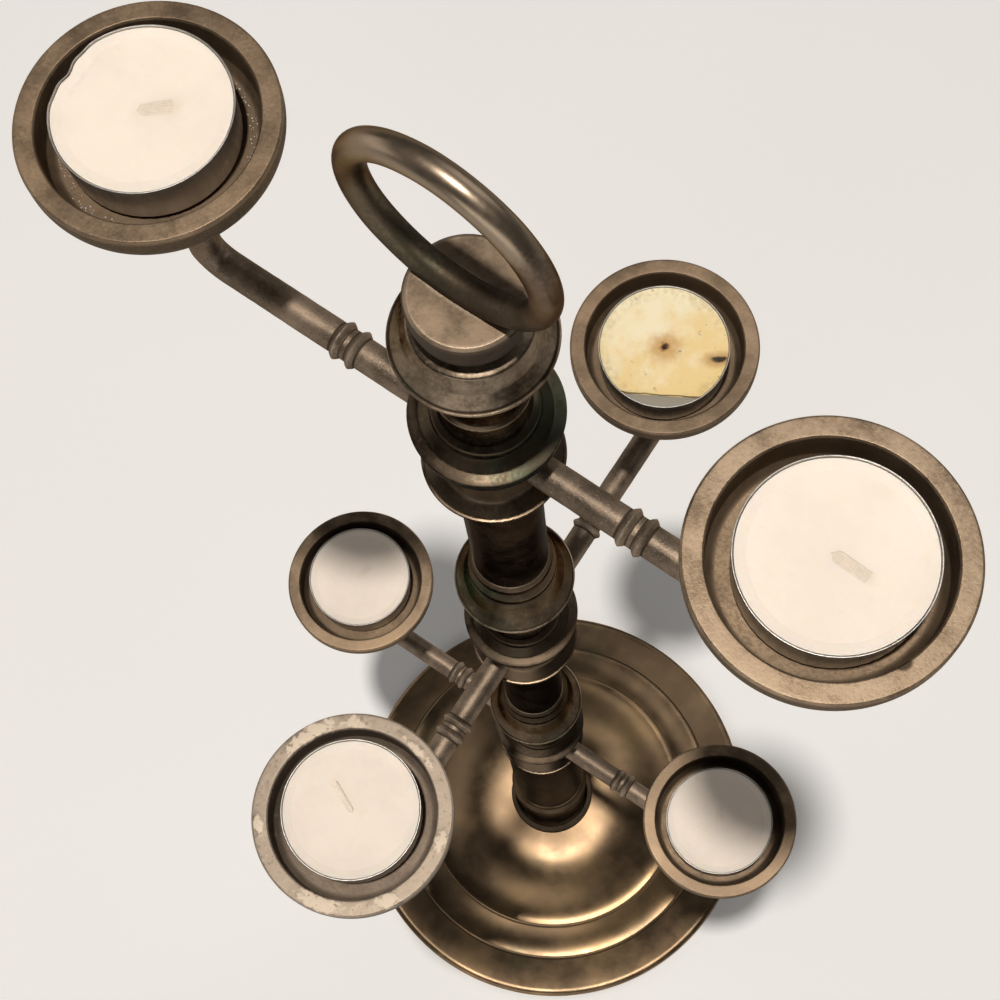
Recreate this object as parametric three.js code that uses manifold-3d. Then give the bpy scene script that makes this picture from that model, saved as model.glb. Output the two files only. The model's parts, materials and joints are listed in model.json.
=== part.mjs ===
// A tealight candelabra: a spun base, a turned column on a tie rod, and three tiers of two cups on arms.
// Millimetres, +Z up, the origin on the floor under the column. The top pair of arms lies along X.
import * as THREE from "three";
import { mergeVertices } from "three/addons/utils/BufferGeometryUtils.js";
import Module from "manifold-3d";

const wasm = await Module();
wasm.setup();

// Tiers: the height of the top pair's arm axis, the step down to the next and each pair's turn in degrees.
const ARM_Z = 540.7;
const TIER_PITCH = 172.8;
const TIER_TURN = [0, -87.7, 0.8];
const TIER_NAMES = ["upper", "middle", "lower"];

// Arms: reach to the cup's centre, rod radius, where the root stops in the hub, the elbow and the two ridges.
const ARM_REACH = 80.3;
const ARM_R = 3.9;
const ARM_ROOT = 6.6;
const ELBOW_R = 6;
const RIDGE_AT = 39.2;
const RIDGE_APART = 4.3;
const RIDGE_WIDE = 2.4;
const RIDGE_PROUD = 0.9;

// Cups: rim and inner radius, depth, rim above the arm axis, straight wall, bowl and the socket underneath.
const DISH_R = 27.5;
const DISH_INNER_R = 23;
const DISH_DEPTH = 10;
const DISH_RIM_Z = 62.2;
const DISH_WALL = 3.4;
const DISH_FLOOR = 5.2;
const BOSS_WALL = 2.5;
const BOSS_LONG = 4.8;
const SOCKET_DEPTH = 5;

// Tealights: standard 38 mm cups, the wax level under the lip and the wick.
const TEALIGHT_R = 19;
const TEALIGHT_H = 12.5;
const FOIL = 0.4;
const WAX_DOWN = 0.9;
const WICK_R = 0.7;
const WICK_SUNK = 5.6;

// Where each tealight stands, as seen: [outwards, sideways], then the wick's turn in degrees and its length.
const STANDS = {
  upper_a: [1.16, -0.5, 42, 6.2],
  upper_b: [0.75, 0.1, -2, 7],
  middle_a: [-1.2, -0.5, 40, 0],
  middle_b: [-0.6, -0.5, 157, 8.6],
  lower_a: [0.5, -0.6, 80, 4.5],
  lower_b: [0.05, -0.6, 120, 4],
};

// Column: tie rod, shaft radius, and the hub's ends, the saucer's rim and the collar's end from the arm axis.
const ROD_R = 3;
const SHAFT_R = 10.3;
const HUB_LOW = -14.2;
const HUB_HIGH = 22.9;
const SAUCER_Z = 58.4;
const COLLAR_HIGH = 82.5;
const WAIST_R = 11.1;
const NECK_R = 9.8;
const NECK_RINGS = 2;
const DISC_R = { saucer: 17, flange: 17.25, foot: 16.75 };

// Cap on top: its own foot, thickness above that and radius.
const CAP_LOW = 68.4;
const CAP_TALL = 10;
const CAP_R = 12;

// Base: rim, step and dome radii, the heights of their lips, how late the dome drops, its top and its skin.
const BASE_R = 94.5;
const STEP_R = 77.2;
const DOME_R = 62.7;
const ROLL_Z = 3.9;
const STEP_Z = 9.5;
const DOME_Z = 16.4;
const DOME_LATE = 1.6;
const BASE_TOP = 28.5;
const BASE_SKIN = 2.4;
const BASE_FOOT = 3;

// Foot and the stout lowest shaft on it.
const FOOT_R = 19.4;
const FOOT_TALL = 58.2;
const FOOT_SHAFT_R = 15.5;

// Fasteners under the base.
const WASHER_R = 12;
const WASHER_THICK = 2;
const NUT_ACROSS = 12;
const NUT_THICK = 6;
const ROD_PAST_NUT = 3.5;

// Ring handle: it stands a little aside of the column's axis.
const RING_R = 21.2;
const RING_ROD_R = 3.05;
const RING_SUNK = 2.4;
const RING_TURN = -1.5;
const RING_ASIDE = -2.2;

// Clearances: round the rod, an arm in its hole, the ring, a swivel, under a tealight and round its wax.
const ROD_FIT = 0.3;
const FIT = 0.15;
const RING_FIT = 0.2;
const RUN = 0.1;
const SEAT = 0.1;
const WAX_FIT = 0.1;

// Facets round a turned piece, by its size.
const SIDES = { base: 30, column: 18, dish: 18, tealight: 15, rod: 10 };

const BORE_R = ROD_R + ROD_FIT;
const rad = THREE.MathUtils.degToRad;
const finish = {
  brass: [0x6b5a44, 1, 0.42],
  dark: [0x4b3f31, 1, 0.46],
  steel: [0x8b8b8b, 1, 0.4],
  foil: [0xb9b8b5, 1, 0.3],
  wax: [0xf2e8da, 0, 0.55],
  wick: [0xd8ccb8, 0, 0.9],
};

function piece(name, geometry, look) {
  const [color, metalness, roughness] = finish[look];
  const mesh = new THREE.Mesh(geometry, new THREE.MeshStandardMaterial({ color, metalness, roughness }));
  mesh.name = name;
  return mesh;
}

// A turned piece from [radius, height] points that run up its outside. A bored one closes on itself.
function turned(points, sides, bored = false) {
  const list = bored ? [...points, points[0]] : points;
  const outline = list.map(([r, z]) => new THREE.Vector2(r, z));
  return new THREE.LatheGeometry(outline, sides).rotateX(Math.PI / 2);
}

// A round bar along a path in the XZ plane, from stations of [x, z, radius, angle of the path above +X].
function bar(stations, sides) {
  const position = [];
  const index = [];
  for (const [x, z, r, tilt] of stations)
    for (let i = 0; i < sides; i++) {
      const a = (2 * Math.PI * i) / sides;
      const up = r * Math.sin(a);
      position.push(x - up * Math.sin(tilt), r * Math.cos(a), z + up * Math.cos(tilt));
    }
  for (let j = 0; j + 1 < stations.length; j++)
    for (let i = 0; i < sides; i++) {
      const a = j * sides + i;
      const b = j * sides + ((i + 1) % sides);
      index.push(a, b, a + sides, b, b + sides, a + sides);
    }
  const last = (stations.length - 1) * sides;
  for (let i = 1; i + 1 < sides; i++) index.push(0, i + 1, i, last, last + i, last + i + 1);
  return new THREE.BufferGeometry()
    .setAttribute("position", new THREE.Float32BufferAttribute(position, 3))
    .setIndex(index);
}

function toSolid(geometry) {
  const bare = new THREE.BufferGeometry().setAttribute("position", geometry.getAttribute("position").clone());
  if (geometry.index) bare.setIndex(geometry.index.clone());
  const whole = mergeVertices(bare, 1e-4);
  const vertProperties = new Float32Array(whole.attributes.position.array);
  return new wasm.Manifold(
    new wasm.Mesh({ numProp: 3, vertProperties, triVerts: new Uint32Array(whole.index.array) }),
  );
}

function toGeometry(solid) {
  const mesh = solid.getMesh();
  const g = new THREE.BufferGeometry()
    .setAttribute("position", new THREE.Float32BufferAttribute(mesh.vertProperties, 3))
    .setIndex(Array.from(mesh.triVerts));
  g.computeVertexNormals();
  return g;
}

// Points on a quarter of an ellipse, from [r0, z0], where it lies flat, to [r1, z1], where it is upright.
function quarter(r0, z0, r1, z1, steps) {
  return Array.from({ length: steps + 1 }, (_, i) => {
    const t = (i * Math.PI) / 2 / steps;
    return [r0 + (r1 - r0) * Math.sin(t), z1 + (z0 - z1) * Math.cos(t)];
  });
}

// Points on an ogee from [r0, z0] to [r1, z1]. It lies flat at both ends and drops late.
function ogee(r0, z0, r1, z1, steps) {
  return Array.from({ length: steps + 1 }, (_, i) => {
    const t = i / steps;
    return [r0 + (r1 - r0) * t, z0 + ((z1 - z0) * (1 - Math.cos(Math.PI * t ** DOME_LATE))) / 2];
  });
}

// Points on a hollow sweep from [r0, z0] down to [r1, z1], where it runs out flat.
function sweep(r0, z0, r1, z1, steps) {
  return Array.from({ length: steps + 1 }, (_, i) => {
    const t = i / steps;
    return [r0 + (r1 - r0) * t, z1 + (z0 - z1) * (1 - t) ** 2];
  });
}

// The base: a thin spun shell, open underneath. An ogee dome and two hollow steps each end in a lip.
function baseShell() {
  const skin = BASE_SKIN;
  const seat = FOOT_R + 1;
  const top = [
    ...ogee(seat, BASE_TOP, DOME_R - 1.2, DOME_Z, 6), [DOME_R, DOME_Z - 0.6],
    ...sweep(DOME_R + 0.4, DOME_Z - 1.6, STEP_R - 1, STEP_Z, 3), [STEP_R, STEP_Z - 0.4],
    ...sweep(STEP_R + 0.8, STEP_Z - 1.4, BASE_R - 2.5, ROLL_Z, 3), [BASE_R, ROLL_Z - 1.7],
  ];
  const under = [
    [BORE_R, BASE_TOP - skin], ...ogee(seat, BASE_TOP - skin, DOME_R - skin, DOME_Z - skin, 4),
    ...sweep(DOME_R - 1, DOME_Z - skin - 1.6, STEP_R - skin, STEP_Z - skin, 2), [STEP_R, STEP_Z - skin - 2.2],
    [BASE_R - BASE_FOOT - 1.7, 0],
  ];
  return turned([...under, [BASE_R - 1.7, 0], ...top.reverse(), [BORE_R, BASE_TOP]], SIDES.base, true);
}

function footCollar() {
  const r = FOOT_SHAFT_R;
  const high = BASE_TOP + FOOT_TALL;
  return turned(
    [
      [BORE_R, BASE_TOP], [FOOT_R, BASE_TOP], [FOOT_R, BASE_TOP + 4], [r + 1.7, BASE_TOP + 6.6],
      [r + 0.5, BASE_TOP + 10], [r + 0.5, high - 22], [r + 1.7, high - 17.6], [r + 1.7, high - 12],
      [r - 0.4, high - 7.6], [r - 0.4, high - 5.4], [r + 0.6, high - 4.2], [r + 0.6, high - 1.6],
      [r - 0.1, high], [BORE_R, high],
    ],
    SIDES.column,
    true,
  );
}

function shaft(r, from, to) {
  const outline = [[BORE_R, from], [r, from], [r - 0.15, to - 1], [r - 0.9, to], [BORE_R, to]];
  return turned(outline, SIDES.column, true);
}

function hexNut() {
  const outline = new THREE.Shape();
  const corner = NUT_ACROSS / Math.sqrt(3);
  for (let i = 0; i < 6; i++) {
    const a = (i * Math.PI) / 3;
    if (i) outline.lineTo(corner * Math.cos(a), corner * Math.sin(a));
    else outline.moveTo(corner, 0);
  }
  outline.closePath();
  outline.holes.push(new THREE.Path().absarc(0, 0, BORE_R, 0, 2 * Math.PI, true));
  return new THREE.ExtrudeGeometry(outline, { depth: NUT_THICK, bevelEnabled: false, curveSegments: 16 });
}

// A hub: a foot flange, a waist drilled for the arms, an upper flange and a bead. Heights from the arm axis.
function hub() {
  const { foot, flange } = DISC_R;
  const low = HUB_LOW + RUN;
  const high = HUB_HIGH - RUN;
  const bead = NECK_R + 1.9;
  const body = toSolid(
    turned(
      [
        [BORE_R, low], [SHAFT_R, low], [foot - 0.8, low + 2.4], [foot, low + 3.5], [foot - 0.6, low + 4.5],
        [WAIST_R + 1.7, low + 6.6], [WAIST_R, low + 10.9], [WAIST_R + 0.2, high - 17.4],
        [WAIST_R + 1.7, high - 13.6], [flange - 0.5, high - 10], [flange, high - 5.7],
        [flange - 0.8, high - 4.6], [bead + 0.5, high - 2.7], [bead, high - 0.9], [NECK_R + 1.1, high],
        [BORE_R, high],
      ],
      SIDES.column,
      true,
    ),
  );
  const reach = 2 * WAIST_R;
  const drill = wasm.Manifold.cylinder(reach, ARM_R + FIT, ARM_R + FIT, SIDES.rod)
    .rotate([0, 0, 180 / SIDES.rod])
    .rotate([0, 90, 0]);
  const from = ARM_ROOT - 2 * FIT;
  const left = drill.translate([-from - reach, 0, 0]);
  return toGeometry(body.subtract(drill.translate([from, 0, 0])).subtract(left));
}

// The outside of a saucer collar, the same on each tier: a ringed neck and a saucer with a thin rim.
function saucerOutline() {
  const rim = DISC_R.saucer;
  const neckHigh = SAUCER_Z - 8.3;
  const rings = [];
  for (let i = 1; i <= NECK_RINGS; i++) {
    const z = HUB_HIGH + (i * (neckHigh - HUB_HIGH)) / (NECK_RINGS + 0.8);
    rings.push([NECK_R, z - 1], [NECK_R + 0.8, z], [NECK_R, z + 1.2]);
  }
  return [
    [BORE_R, HUB_HIGH], [NECK_R, HUB_HIGH], ...rings, [NECK_R + 0.4, neckHigh],
    [NECK_R + 2.6, SAUCER_Z - 3.7], [rim - 0.9, SAUCER_Z - 1.1], [rim, SAUCER_Z],
    [rim - 0.3, SAUCER_Z + 1.1], [rim - 2.7, SAUCER_Z + 4.1],
  ];
}

function collar() {
  const r = SHAFT_R;
  const high = COLLAR_HIGH;
  return turned(
    [
      ...saucerOutline(), [r + 1.9, SAUCER_Z + 9.1], [r + 0.8, high - 13.1], [r + 1.9, high - 10.7],
      [r + 1.9, high - 8.3], [r + 0.5, high - 6.1], [r + 0.9, high - 3.1], [r + 0.9, high - 1.3],
      [r, high], [BORE_R, high],
    ],
    SIDES.column,
    true,
  );
}

function topCollar() {
  const neck = CAP_R - 2.5;
  const top = [[neck + 3, CAP_LOW - 2.1], [neck + 0.2, CAP_LOW - 1.1], [neck, CAP_LOW], [BORE_R, CAP_LOW]];
  return turned([...saucerOutline(), ...top], SIDES.column, true);
}

const RING_Z = CAP_LOW + CAP_TALL - RING_SUNK + RING_ROD_R + RING_R;
const ROD_IN_CAP = CAP_TALL / 2;

function ring(rodR) {
  const round = new THREE.TorusGeometry(RING_R, rodR, SIDES.rod, 26);
  return round.rotateX(Math.PI / 2).translate(RING_ASIDE, 0, 0).rotateZ(rad(RING_TURN));
}

// The cap: a flat-topped button over a bead, with a hole for the rod's end and a groove that seats the ring.
function cap() {
  const low = CAP_LOW;
  const high = CAP_LOW + CAP_TALL;
  const hole = low + ROD_IN_CAP + ROD_FIT;
  const body = toSolid(
    turned(
      [
        [0, hole], [BORE_R, hole], [BORE_R, low], [CAP_R - 2.5, low], [CAP_R - 0.7, low + 1.7],
        [CAP_R - 0.7, low + 2.9], [CAP_R - 1.8, low + 3.9], [CAP_R, low + 5.3], [CAP_R, high - 0.7],
        [CAP_R - 0.6, high], [0, high],
      ],
      SIDES.column,
    ),
  );
  return toGeometry(body.subtract(toSolid(ring(RING_ROD_R + RING_FIT).translate(0, 0, RING_Z))));
}

const BOSS_LOW = DISH_RIM_Z - DISH_DEPTH - DISH_FLOOR - BOSS_LONG;

// An arm: a rod with two ridges, an elbow and an upright end that stands in the cup's socket.
function arm() {
  const stations = [[ARM_ROOT, 0, ARM_R, 0]];
  for (const x of [RIDGE_AT - RIDGE_APART / 2, RIDGE_AT + RIDGE_APART / 2])
    stations.push(
      [x - RIDGE_WIDE / 2, 0, ARM_R, 0], [x, 0, ARM_R + RIDGE_PROUD, 0], [x + RIDGE_WIDE / 2, 0, ARM_R, 0],
    );
  for (let i = 0; i <= 4; i++) {
    const t = (i * Math.PI) / 8;
    const x = ARM_REACH - ELBOW_R * (1 - Math.sin(t));
    stations.push([x, ELBOW_R * (1 - Math.cos(t)), ARM_R, t]);
  }
  stations.push([ARM_REACH, BOSS_LOW + SOCKET_DEPTH - FIT, ARM_R, Math.PI / 2]);
  return bar(stations, SIDES.rod);
}

// A cup: heights from its rim, with a straight wall over a bowl and a socketed boss.
function dish() {
  const socket = ARM_R + FIT;
  const boss = socket + BOSS_WALL;
  const low = BOSS_LOW - DISH_RIM_Z;
  return turned(
    [
      [0, low + SOCKET_DEPTH], [socket, low + SOCKET_DEPTH], [socket, low], [boss, low],
      ...quarter(boss, -DISH_DEPTH - DISH_FLOOR, DISH_R, -DISH_WALL, 3), [DISH_R, -0.7], [DISH_R - 0.6, 0],
      [DISH_INNER_R, 0], [DISH_INNER_R, 1 - DISH_DEPTH], [DISH_INNER_R - 1, -DISH_DEPTH], [0, -DISH_DEPTH],
    ],
    SIDES.dish,
  );
}

const WAX_TOP = TEALIGHT_H - WAX_DOWN;
const WICK_FOOT = WAX_TOP - WICK_SUNK;

function tealightCup() {
  const r = TEALIGHT_R;
  const h = TEALIGHT_H;
  return turned(
    [
      [0, 0], [r - 0.7, 0], [r - 0.4, h - 0.8], [r, h - 0.5], [r, h], [r - 0.4 - FOIL, h],
      [r - 0.7 - FOIL, FOIL], [0, FOIL],
    ],
    SIDES.tealight,
  );
}

function wax() {
  const r = TEALIGHT_R - 0.7 - FOIL - WAX_FIT;
  const hole = WICK_R + 0.25;
  return turned(
    [
      [0, FOIL + WAX_FIT], [r - 0.2, FOIL + WAX_FIT], [r + 0.1, WAX_TOP - 0.3], [r - 0.3, WAX_TOP],
      [hole, WAX_TOP], [hole, WICK_FOOT], [0, WICK_FOOT],
    ],
    SIDES.tealight,
  );
}

// A wick stands in the wax and falls over by the given length. One of no length is a burnt stub.
function wick(length) {
  const up = Math.PI / 2;
  const lie = WAX_TOP + WICK_R + 0.25;
  const turn = 0.5 + WICK_R;
  const stations = [[0, WICK_FOOT + 0.2, WICK_R, up]];
  if (length === 0) stations.push([0, WAX_TOP + 0.9, WICK_R, up], [0, WAX_TOP + 1.5, WICK_R / 2, up]);
  else {
    for (let i = 0; i <= 2; i++) {
      const t = (i * Math.PI) / 4;
      stations.push([turn * (1 - Math.cos(t)), lie - turn * (1 - Math.sin(t)), WICK_R, up - t]);
    }
    stations.push([length - 0.5, lie, WICK_R, 0], [length, lie, WICK_R * 0.6, 0]);
  }
  return bar(stations, 6);
}

const candelabra = new THREE.Group();

function place(mesh, x, y, z, turn = 0) {
  mesh.position.set(x, y, z);
  mesh.rotation.z = turn;
  return mesh;
}

// The base, the foot and what holds the stack together.
const footHigh = BASE_TOP + FOOT_TALL;
const underDome = BASE_TOP - BASE_SKIN;
const nutLow = underDome - WASHER_THICK - NUT_THICK;
candelabra.add(piece("base_shell", baseShell(), "brass"));
candelabra.add(piece("foot_collar", footCollar(), "dark"));
const washer = turned(
  [[BORE_R, 0], [WASHER_R, 0], [WASHER_R, WASHER_THICK], [BORE_R, WASHER_THICK]],
  SIDES.column,
  true,
);
candelabra.add(place(piece("base_washer", washer, "steel"), 0, 0, underDome - WASHER_THICK));
candelabra.add(place(piece("base_nut", hexNut(), "steel"), 0, 0, nutLow));
const rodLow = nutLow - ROD_PAST_NUT;
const rodHigh = ARM_Z + CAP_LOW + ROD_IN_CAP;
const rod = turned([[0, rodLow], [ROD_R, rodLow], [ROD_R, rodHigh], [0, rodHigh]], SIDES.rod);
candelabra.add(piece("tie_rod", rod, "steel"));

// The shafts between the tiers. The lowest is the stout one on the foot.
const axes = TIER_NAMES.map((_, k) => ARM_Z - k * TIER_PITCH);
candelabra.add(piece("shaft_upper", shaft(SHAFT_R, axes[1] + COLLAR_HIGH, axes[0] + HUB_LOW), "dark"));
candelabra.add(piece("shaft_middle", shaft(SHAFT_R, axes[2] + COLLAR_HIGH, axes[1] + HUB_LOW), "dark"));
candelabra.add(piece("shaft_lower", shaft(FOOT_SHAFT_R, footHigh, axes[2] + HUB_LOW), "dark"));

// Each tier: a saucer collar that stays still over a hub that swivels with its arms, cups and tealights.
TIER_NAMES.forEach((tier, k) => {
  const axisZ = axes[k];
  candelabra.add(place(piece("collar_" + tier, k ? collar() : topCollar(), "dark"), 0, 0, axisZ));
  const swivel = new THREE.Group();
  swivel.position.z = axisZ;
  swivel.rotation.z = rad(TIER_TURN[k]);
  candelabra.add(swivel);
  swivel.add(piece("hub_" + tier, hub(), "dark"));
  ["a", "b"].forEach((side, i) => {
    const way = i ? 1 : -1;
    const id = tier + "_" + side;
    const [out, across, wickTurn, wickLength] = STANDS[id];
    swivel.add(place(piece("arm_" + id, arm(), "brass"), 0, 0, 0, i ? 0 : Math.PI));
    swivel.add(place(piece("dish_" + id, dish(), "brass"), way * ARM_REACH, 0, DISH_RIM_Z));
    const x = way * (ARM_REACH + out);
    const z = DISH_RIM_Z - DISH_DEPTH + SEAT;
    swivel.add(place(piece("tealight_cup_" + id, tealightCup(), "foil"), x, way * across, z));
    swivel.add(place(piece("wax_" + id, wax(), "wax"), x, way * across, z));
    const turn = rad(wickTurn - TIER_TURN[k]);
    swivel.add(place(piece("wick_" + id, wick(wickLength), "wick"), x, way * across, z, turn));
  });
});

// The cap and the ring handle on top.
candelabra.add(place(piece("finial_cap", cap(), "brass"), 0, 0, ARM_Z));
candelabra.add(place(piece("ring_handle", ring(RING_ROD_R), "brass"), 0, 0, ARM_Z + RING_Z));

export default candelabra;
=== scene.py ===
"""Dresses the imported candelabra: turned and cast brass, foil tealights and a plain studio."""

import json
import math
from types import SimpleNamespace

import bmesh
import bpy
from mathutils import Matrix, Vector, noise


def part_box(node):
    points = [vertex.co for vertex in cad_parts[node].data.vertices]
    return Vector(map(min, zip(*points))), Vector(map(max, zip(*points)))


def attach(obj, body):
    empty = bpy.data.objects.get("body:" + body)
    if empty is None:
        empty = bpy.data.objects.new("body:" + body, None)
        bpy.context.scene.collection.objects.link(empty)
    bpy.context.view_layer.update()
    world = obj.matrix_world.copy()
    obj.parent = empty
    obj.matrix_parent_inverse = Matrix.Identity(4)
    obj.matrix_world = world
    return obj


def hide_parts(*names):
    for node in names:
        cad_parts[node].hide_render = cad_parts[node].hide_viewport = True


bl_info = {
    "name": "Tealight Candelabra",
    "version": (1, 0, 0),
    "blender": (4, 5, 0),
    "location": "3D View > Sidebar > Candelabra",
    "description": "Builds the looks of a turned brass candelabra round its packed model",
    "category": "Object",
}

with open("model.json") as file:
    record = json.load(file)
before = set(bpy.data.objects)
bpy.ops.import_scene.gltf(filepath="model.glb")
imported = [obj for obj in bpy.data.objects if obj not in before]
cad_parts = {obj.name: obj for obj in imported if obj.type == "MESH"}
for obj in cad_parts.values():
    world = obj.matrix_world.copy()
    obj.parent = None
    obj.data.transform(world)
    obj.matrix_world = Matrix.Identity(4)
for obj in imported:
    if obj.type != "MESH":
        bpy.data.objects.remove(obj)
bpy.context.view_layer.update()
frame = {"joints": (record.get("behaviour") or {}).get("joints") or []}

TIERS = ("upper", "middle", "lower")
CUPS = [f"{tier}_{side}" for tier in TIERS for side in "ab"]
ARM_AXIS = {
    joint["child"].removeprefix("tier_"): joint["pos_m"][2] * 1000
    for joint in frame["joints"] if joint["type"] == "hinge"
}

# Where each tealight stands in its cup, outwards and sideways, then its wick's turn in degrees
# and the wick's length. Lengths are in mm, and the burnt wick has none.
STANDS = {
    "upper_a": (1.16, -0.5, 42, 6.2),
    "upper_b": (0.75, 0.1, -2, 7.0),
    "middle_a": (-1.2, -0.5, 40, 0),
    "middle_b": (-0.6, -0.5, 157, 8.6),
    "lower_a": (0.5, -0.6, 80, 4.5),
    "lower_b": (0.05, -0.6, 120, 4.0),
}
STRANDS = 5
FLUTES = 48.0
PLAY = 0.15  # Between an arm and its hole or socket, in mm.

# Small stains and burns, which no property changes.
STAINS = SimpleNamespace(
    crust=(0.74, 0.63, 0.50), pale=(0.86, 0.78, 0.56), halo=(0.52, 0.28, 0.08), edge=(0.55, 0.40, 0.17),
    scorch=(0.45, 0.24, 0.07), fleck=(0.24, 0.19, 0.08), core=(0.10, 0.035, 0.010), bare=(0.27, 0.255, 0.22),
    smear=(0.78, 0.64, 0.48), wicked=(0.72, 0.58, 0.45), rust=(0.16, 0.085, 0.04), char=(0.07, 0.028, 0.014),
    thread=(0.87, 0.79, 0.70))

# Each lamp's shape, size, place and tint. Its power is a property of the stage.
LAMPS = {
    "key": ("ELLIPSE", (0.13, 0.13), (0.05, -0.22, 3.2), (1.0, 0.93, 0.85)),
    "back": ("RECTANGLE", (2.0, 2.0), (0.3, 2.4, 2.4), (1.0, 0.95, 0.90)),
    "front": ("RECTANGLE", (2.4, 1.0), (0.9, -2.2, 1.0), (1.0, 0.94, 0.87)),
    "left": ("RECTANGLE", (2.4, 1.0), (-2.4, -0.6, 1.0), (1.0, 0.94, 0.88)),
}
LAMPS_AIM = (0, 0, 0.3)
FLOOR_HALF = 6
CAMERA_PLACE = (0.09878, -0.09997, 0.9254)
CAMERA_AXES = (
    (0.81363, 0.57894, -0.05327), (-0.53857, 0.78505, 0.306), (0.21897, -0.22028, 0.95054))


# Properties

def length(label, mm, words):
    return bpy.props.FloatProperty(
        name=label, description=words, default=mm / 1000, min=0, unit="LENGTH", precision=4)


def height(label, mm, words):
    return bpy.props.FloatProperty(
        name=label, description=words, default=mm / 1000, unit="LENGTH", precision=4)


def colour(label, rgb, words):
    return bpy.props.FloatVectorProperty(
        name=label, description=words, default=rgb, min=0, max=1, size=3, subtype="COLOR")


def power(label, watts, words):
    return bpy.props.FloatProperty(name=label, description=words, default=watts, min=0, unit="POWER")


def share(label, value, words):
    return bpy.props.FloatProperty(
        name=label, description=words, default=value, min=0, max=1, subtype="FACTOR")


class CandelabraSizes(bpy.types.PropertyGroup):
    """Sizes of the turned, cast and bent pieces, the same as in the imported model."""

    bore: length("Bore", 3.3, "Radius of the hole for the tie rod")
    base_radius: length("Base radius", 94.5, "Outer rim of the spun base")
    step_radius: length("Step radius", 77.2, "Edge of the raised step on the base")
    dome_radius: length("Dome radius", 62.7, "Edge of the dome on the base")
    roll_height: height("Rim height", 3.9, "Lip of the base's rim")
    step_height: height("Step height", 9.5, "Lip of the step")
    dome_height: height("Dome lip height", 16.4, "Lip at the edge of the dome")
    base_top: height("Base top", 28.5, "Top of the dome, where the foot stands")
    base_skin: length("Base skin", 2.4, "Thickness of the spun shell")
    foot_radius: length("Foot radius", 19.4, "Flange at the bottom of the column")
    foot_tall: length("Foot height", 58.2, "Height of the foot above the dome")
    foot_shaft: length("Lower shaft radius", 15.5, "Radius of the stout lowest shaft")
    shaft: length("Shaft radius", 10.3, "Radius of the shafts between the tiers")
    waist: length("Waist radius", 11.1, "Radius of the hub where the arms go in")
    neck: length("Neck radius", 9.8, "Radius of the ringed neck under a saucer")
    hub_low: height("Hub bottom", -14.2, "Bottom of a hub from its arm axis")
    hub_high: height("Hub top", 22.9, "Top of a hub from its arm axis")
    hub_foot: length("Hub foot radius", 16.75, "Thin disc at the bottom of a hub")
    hub_flange: length("Hub flange radius", 17.25, "Thick disc at the top of a hub")
    saucer: length("Saucer radius", 17.0, "Rim of the saucer on each collar")
    saucer_high: height("Saucer height", 58.4, "Rim of the saucer from the arm axis")
    collar_high: height("Collar top", 82.5, "Top of a collar from the arm axis")
    cap_low: height("Cap bottom", 68.4, "Bottom of the cap from the top arm axis")
    cap_tall: length("Cap height", 10.0, "Height of the cap")
    cap: length("Cap radius", 12.0, "Radius of the flat cap")
    ring: length("Ring radius", 21.2, "Middle of the ring handle's rod from its centre")
    ring_rod: length("Ring rod radius", 3.05, "Radius of the ring handle's rod")
    ring_sunk: length("Ring seat", 2.4, "Depth of the groove that seats the ring")
    ring_aside: height("Ring aside", -2.2, "How far the ring stands aside of the column's axis")
    arm: length("Arm radius", 3.9, "Radius of an arm")
    arm_root: length("Arm root", 6.6, "Where an arm starts inside its hub")
    elbow: length("Elbow", 6.0, "Radius of the bend at the end of an arm")
    ridge_at: length("Ridges", 39.2, "Middle of the two ridges from the column's axis")
    ridge_apart: length("Ridge spacing", 4.3, "From one ridge to the other")
    ridge_wide: length("Ridge width", 2.4, "Width of a ridge")
    ridge_proud: length("Ridge height", 0.9, "Height of a ridge above the arm")
    dish: length("Cup radius", 27.5, "Outer radius of a cup's rim")
    dish_inner: length("Cup inner radius", 23.0, "Inner radius of a cup's rim")
    dish_depth: length("Cup depth", 10.0, "Depth of a cup")
    dish_rim: length("Rim height", 62.2, "Rim of a cup above its arm axis")
    dish_wall: length("Straight wall", 3.4, "Straight part of a cup's outside")
    dish_floor: length("Cup floor", 5.2, "Thickness of a cup under its floor")
    boss_wall: length("Boss wall", 2.5, "Wall of the socket under a cup")
    boss_long: length("Boss length", 4.8, "Length of the socket under a cup")
    socket: length("Socket depth", 5.0, "Depth of the socket under a cup")
    tealight: length("Tealight radius", 19.0, "Radius of a tealight's foil cup")
    tealight_tall: length("Tealight height", 12.5, "Height of a foil cup")
    foil: length("Foil", 0.4, "Thickness of the foil cup's wall")
    wax_down: length("Wax level", 0.9, "How far the wax lies under the lip of its cup")


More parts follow.
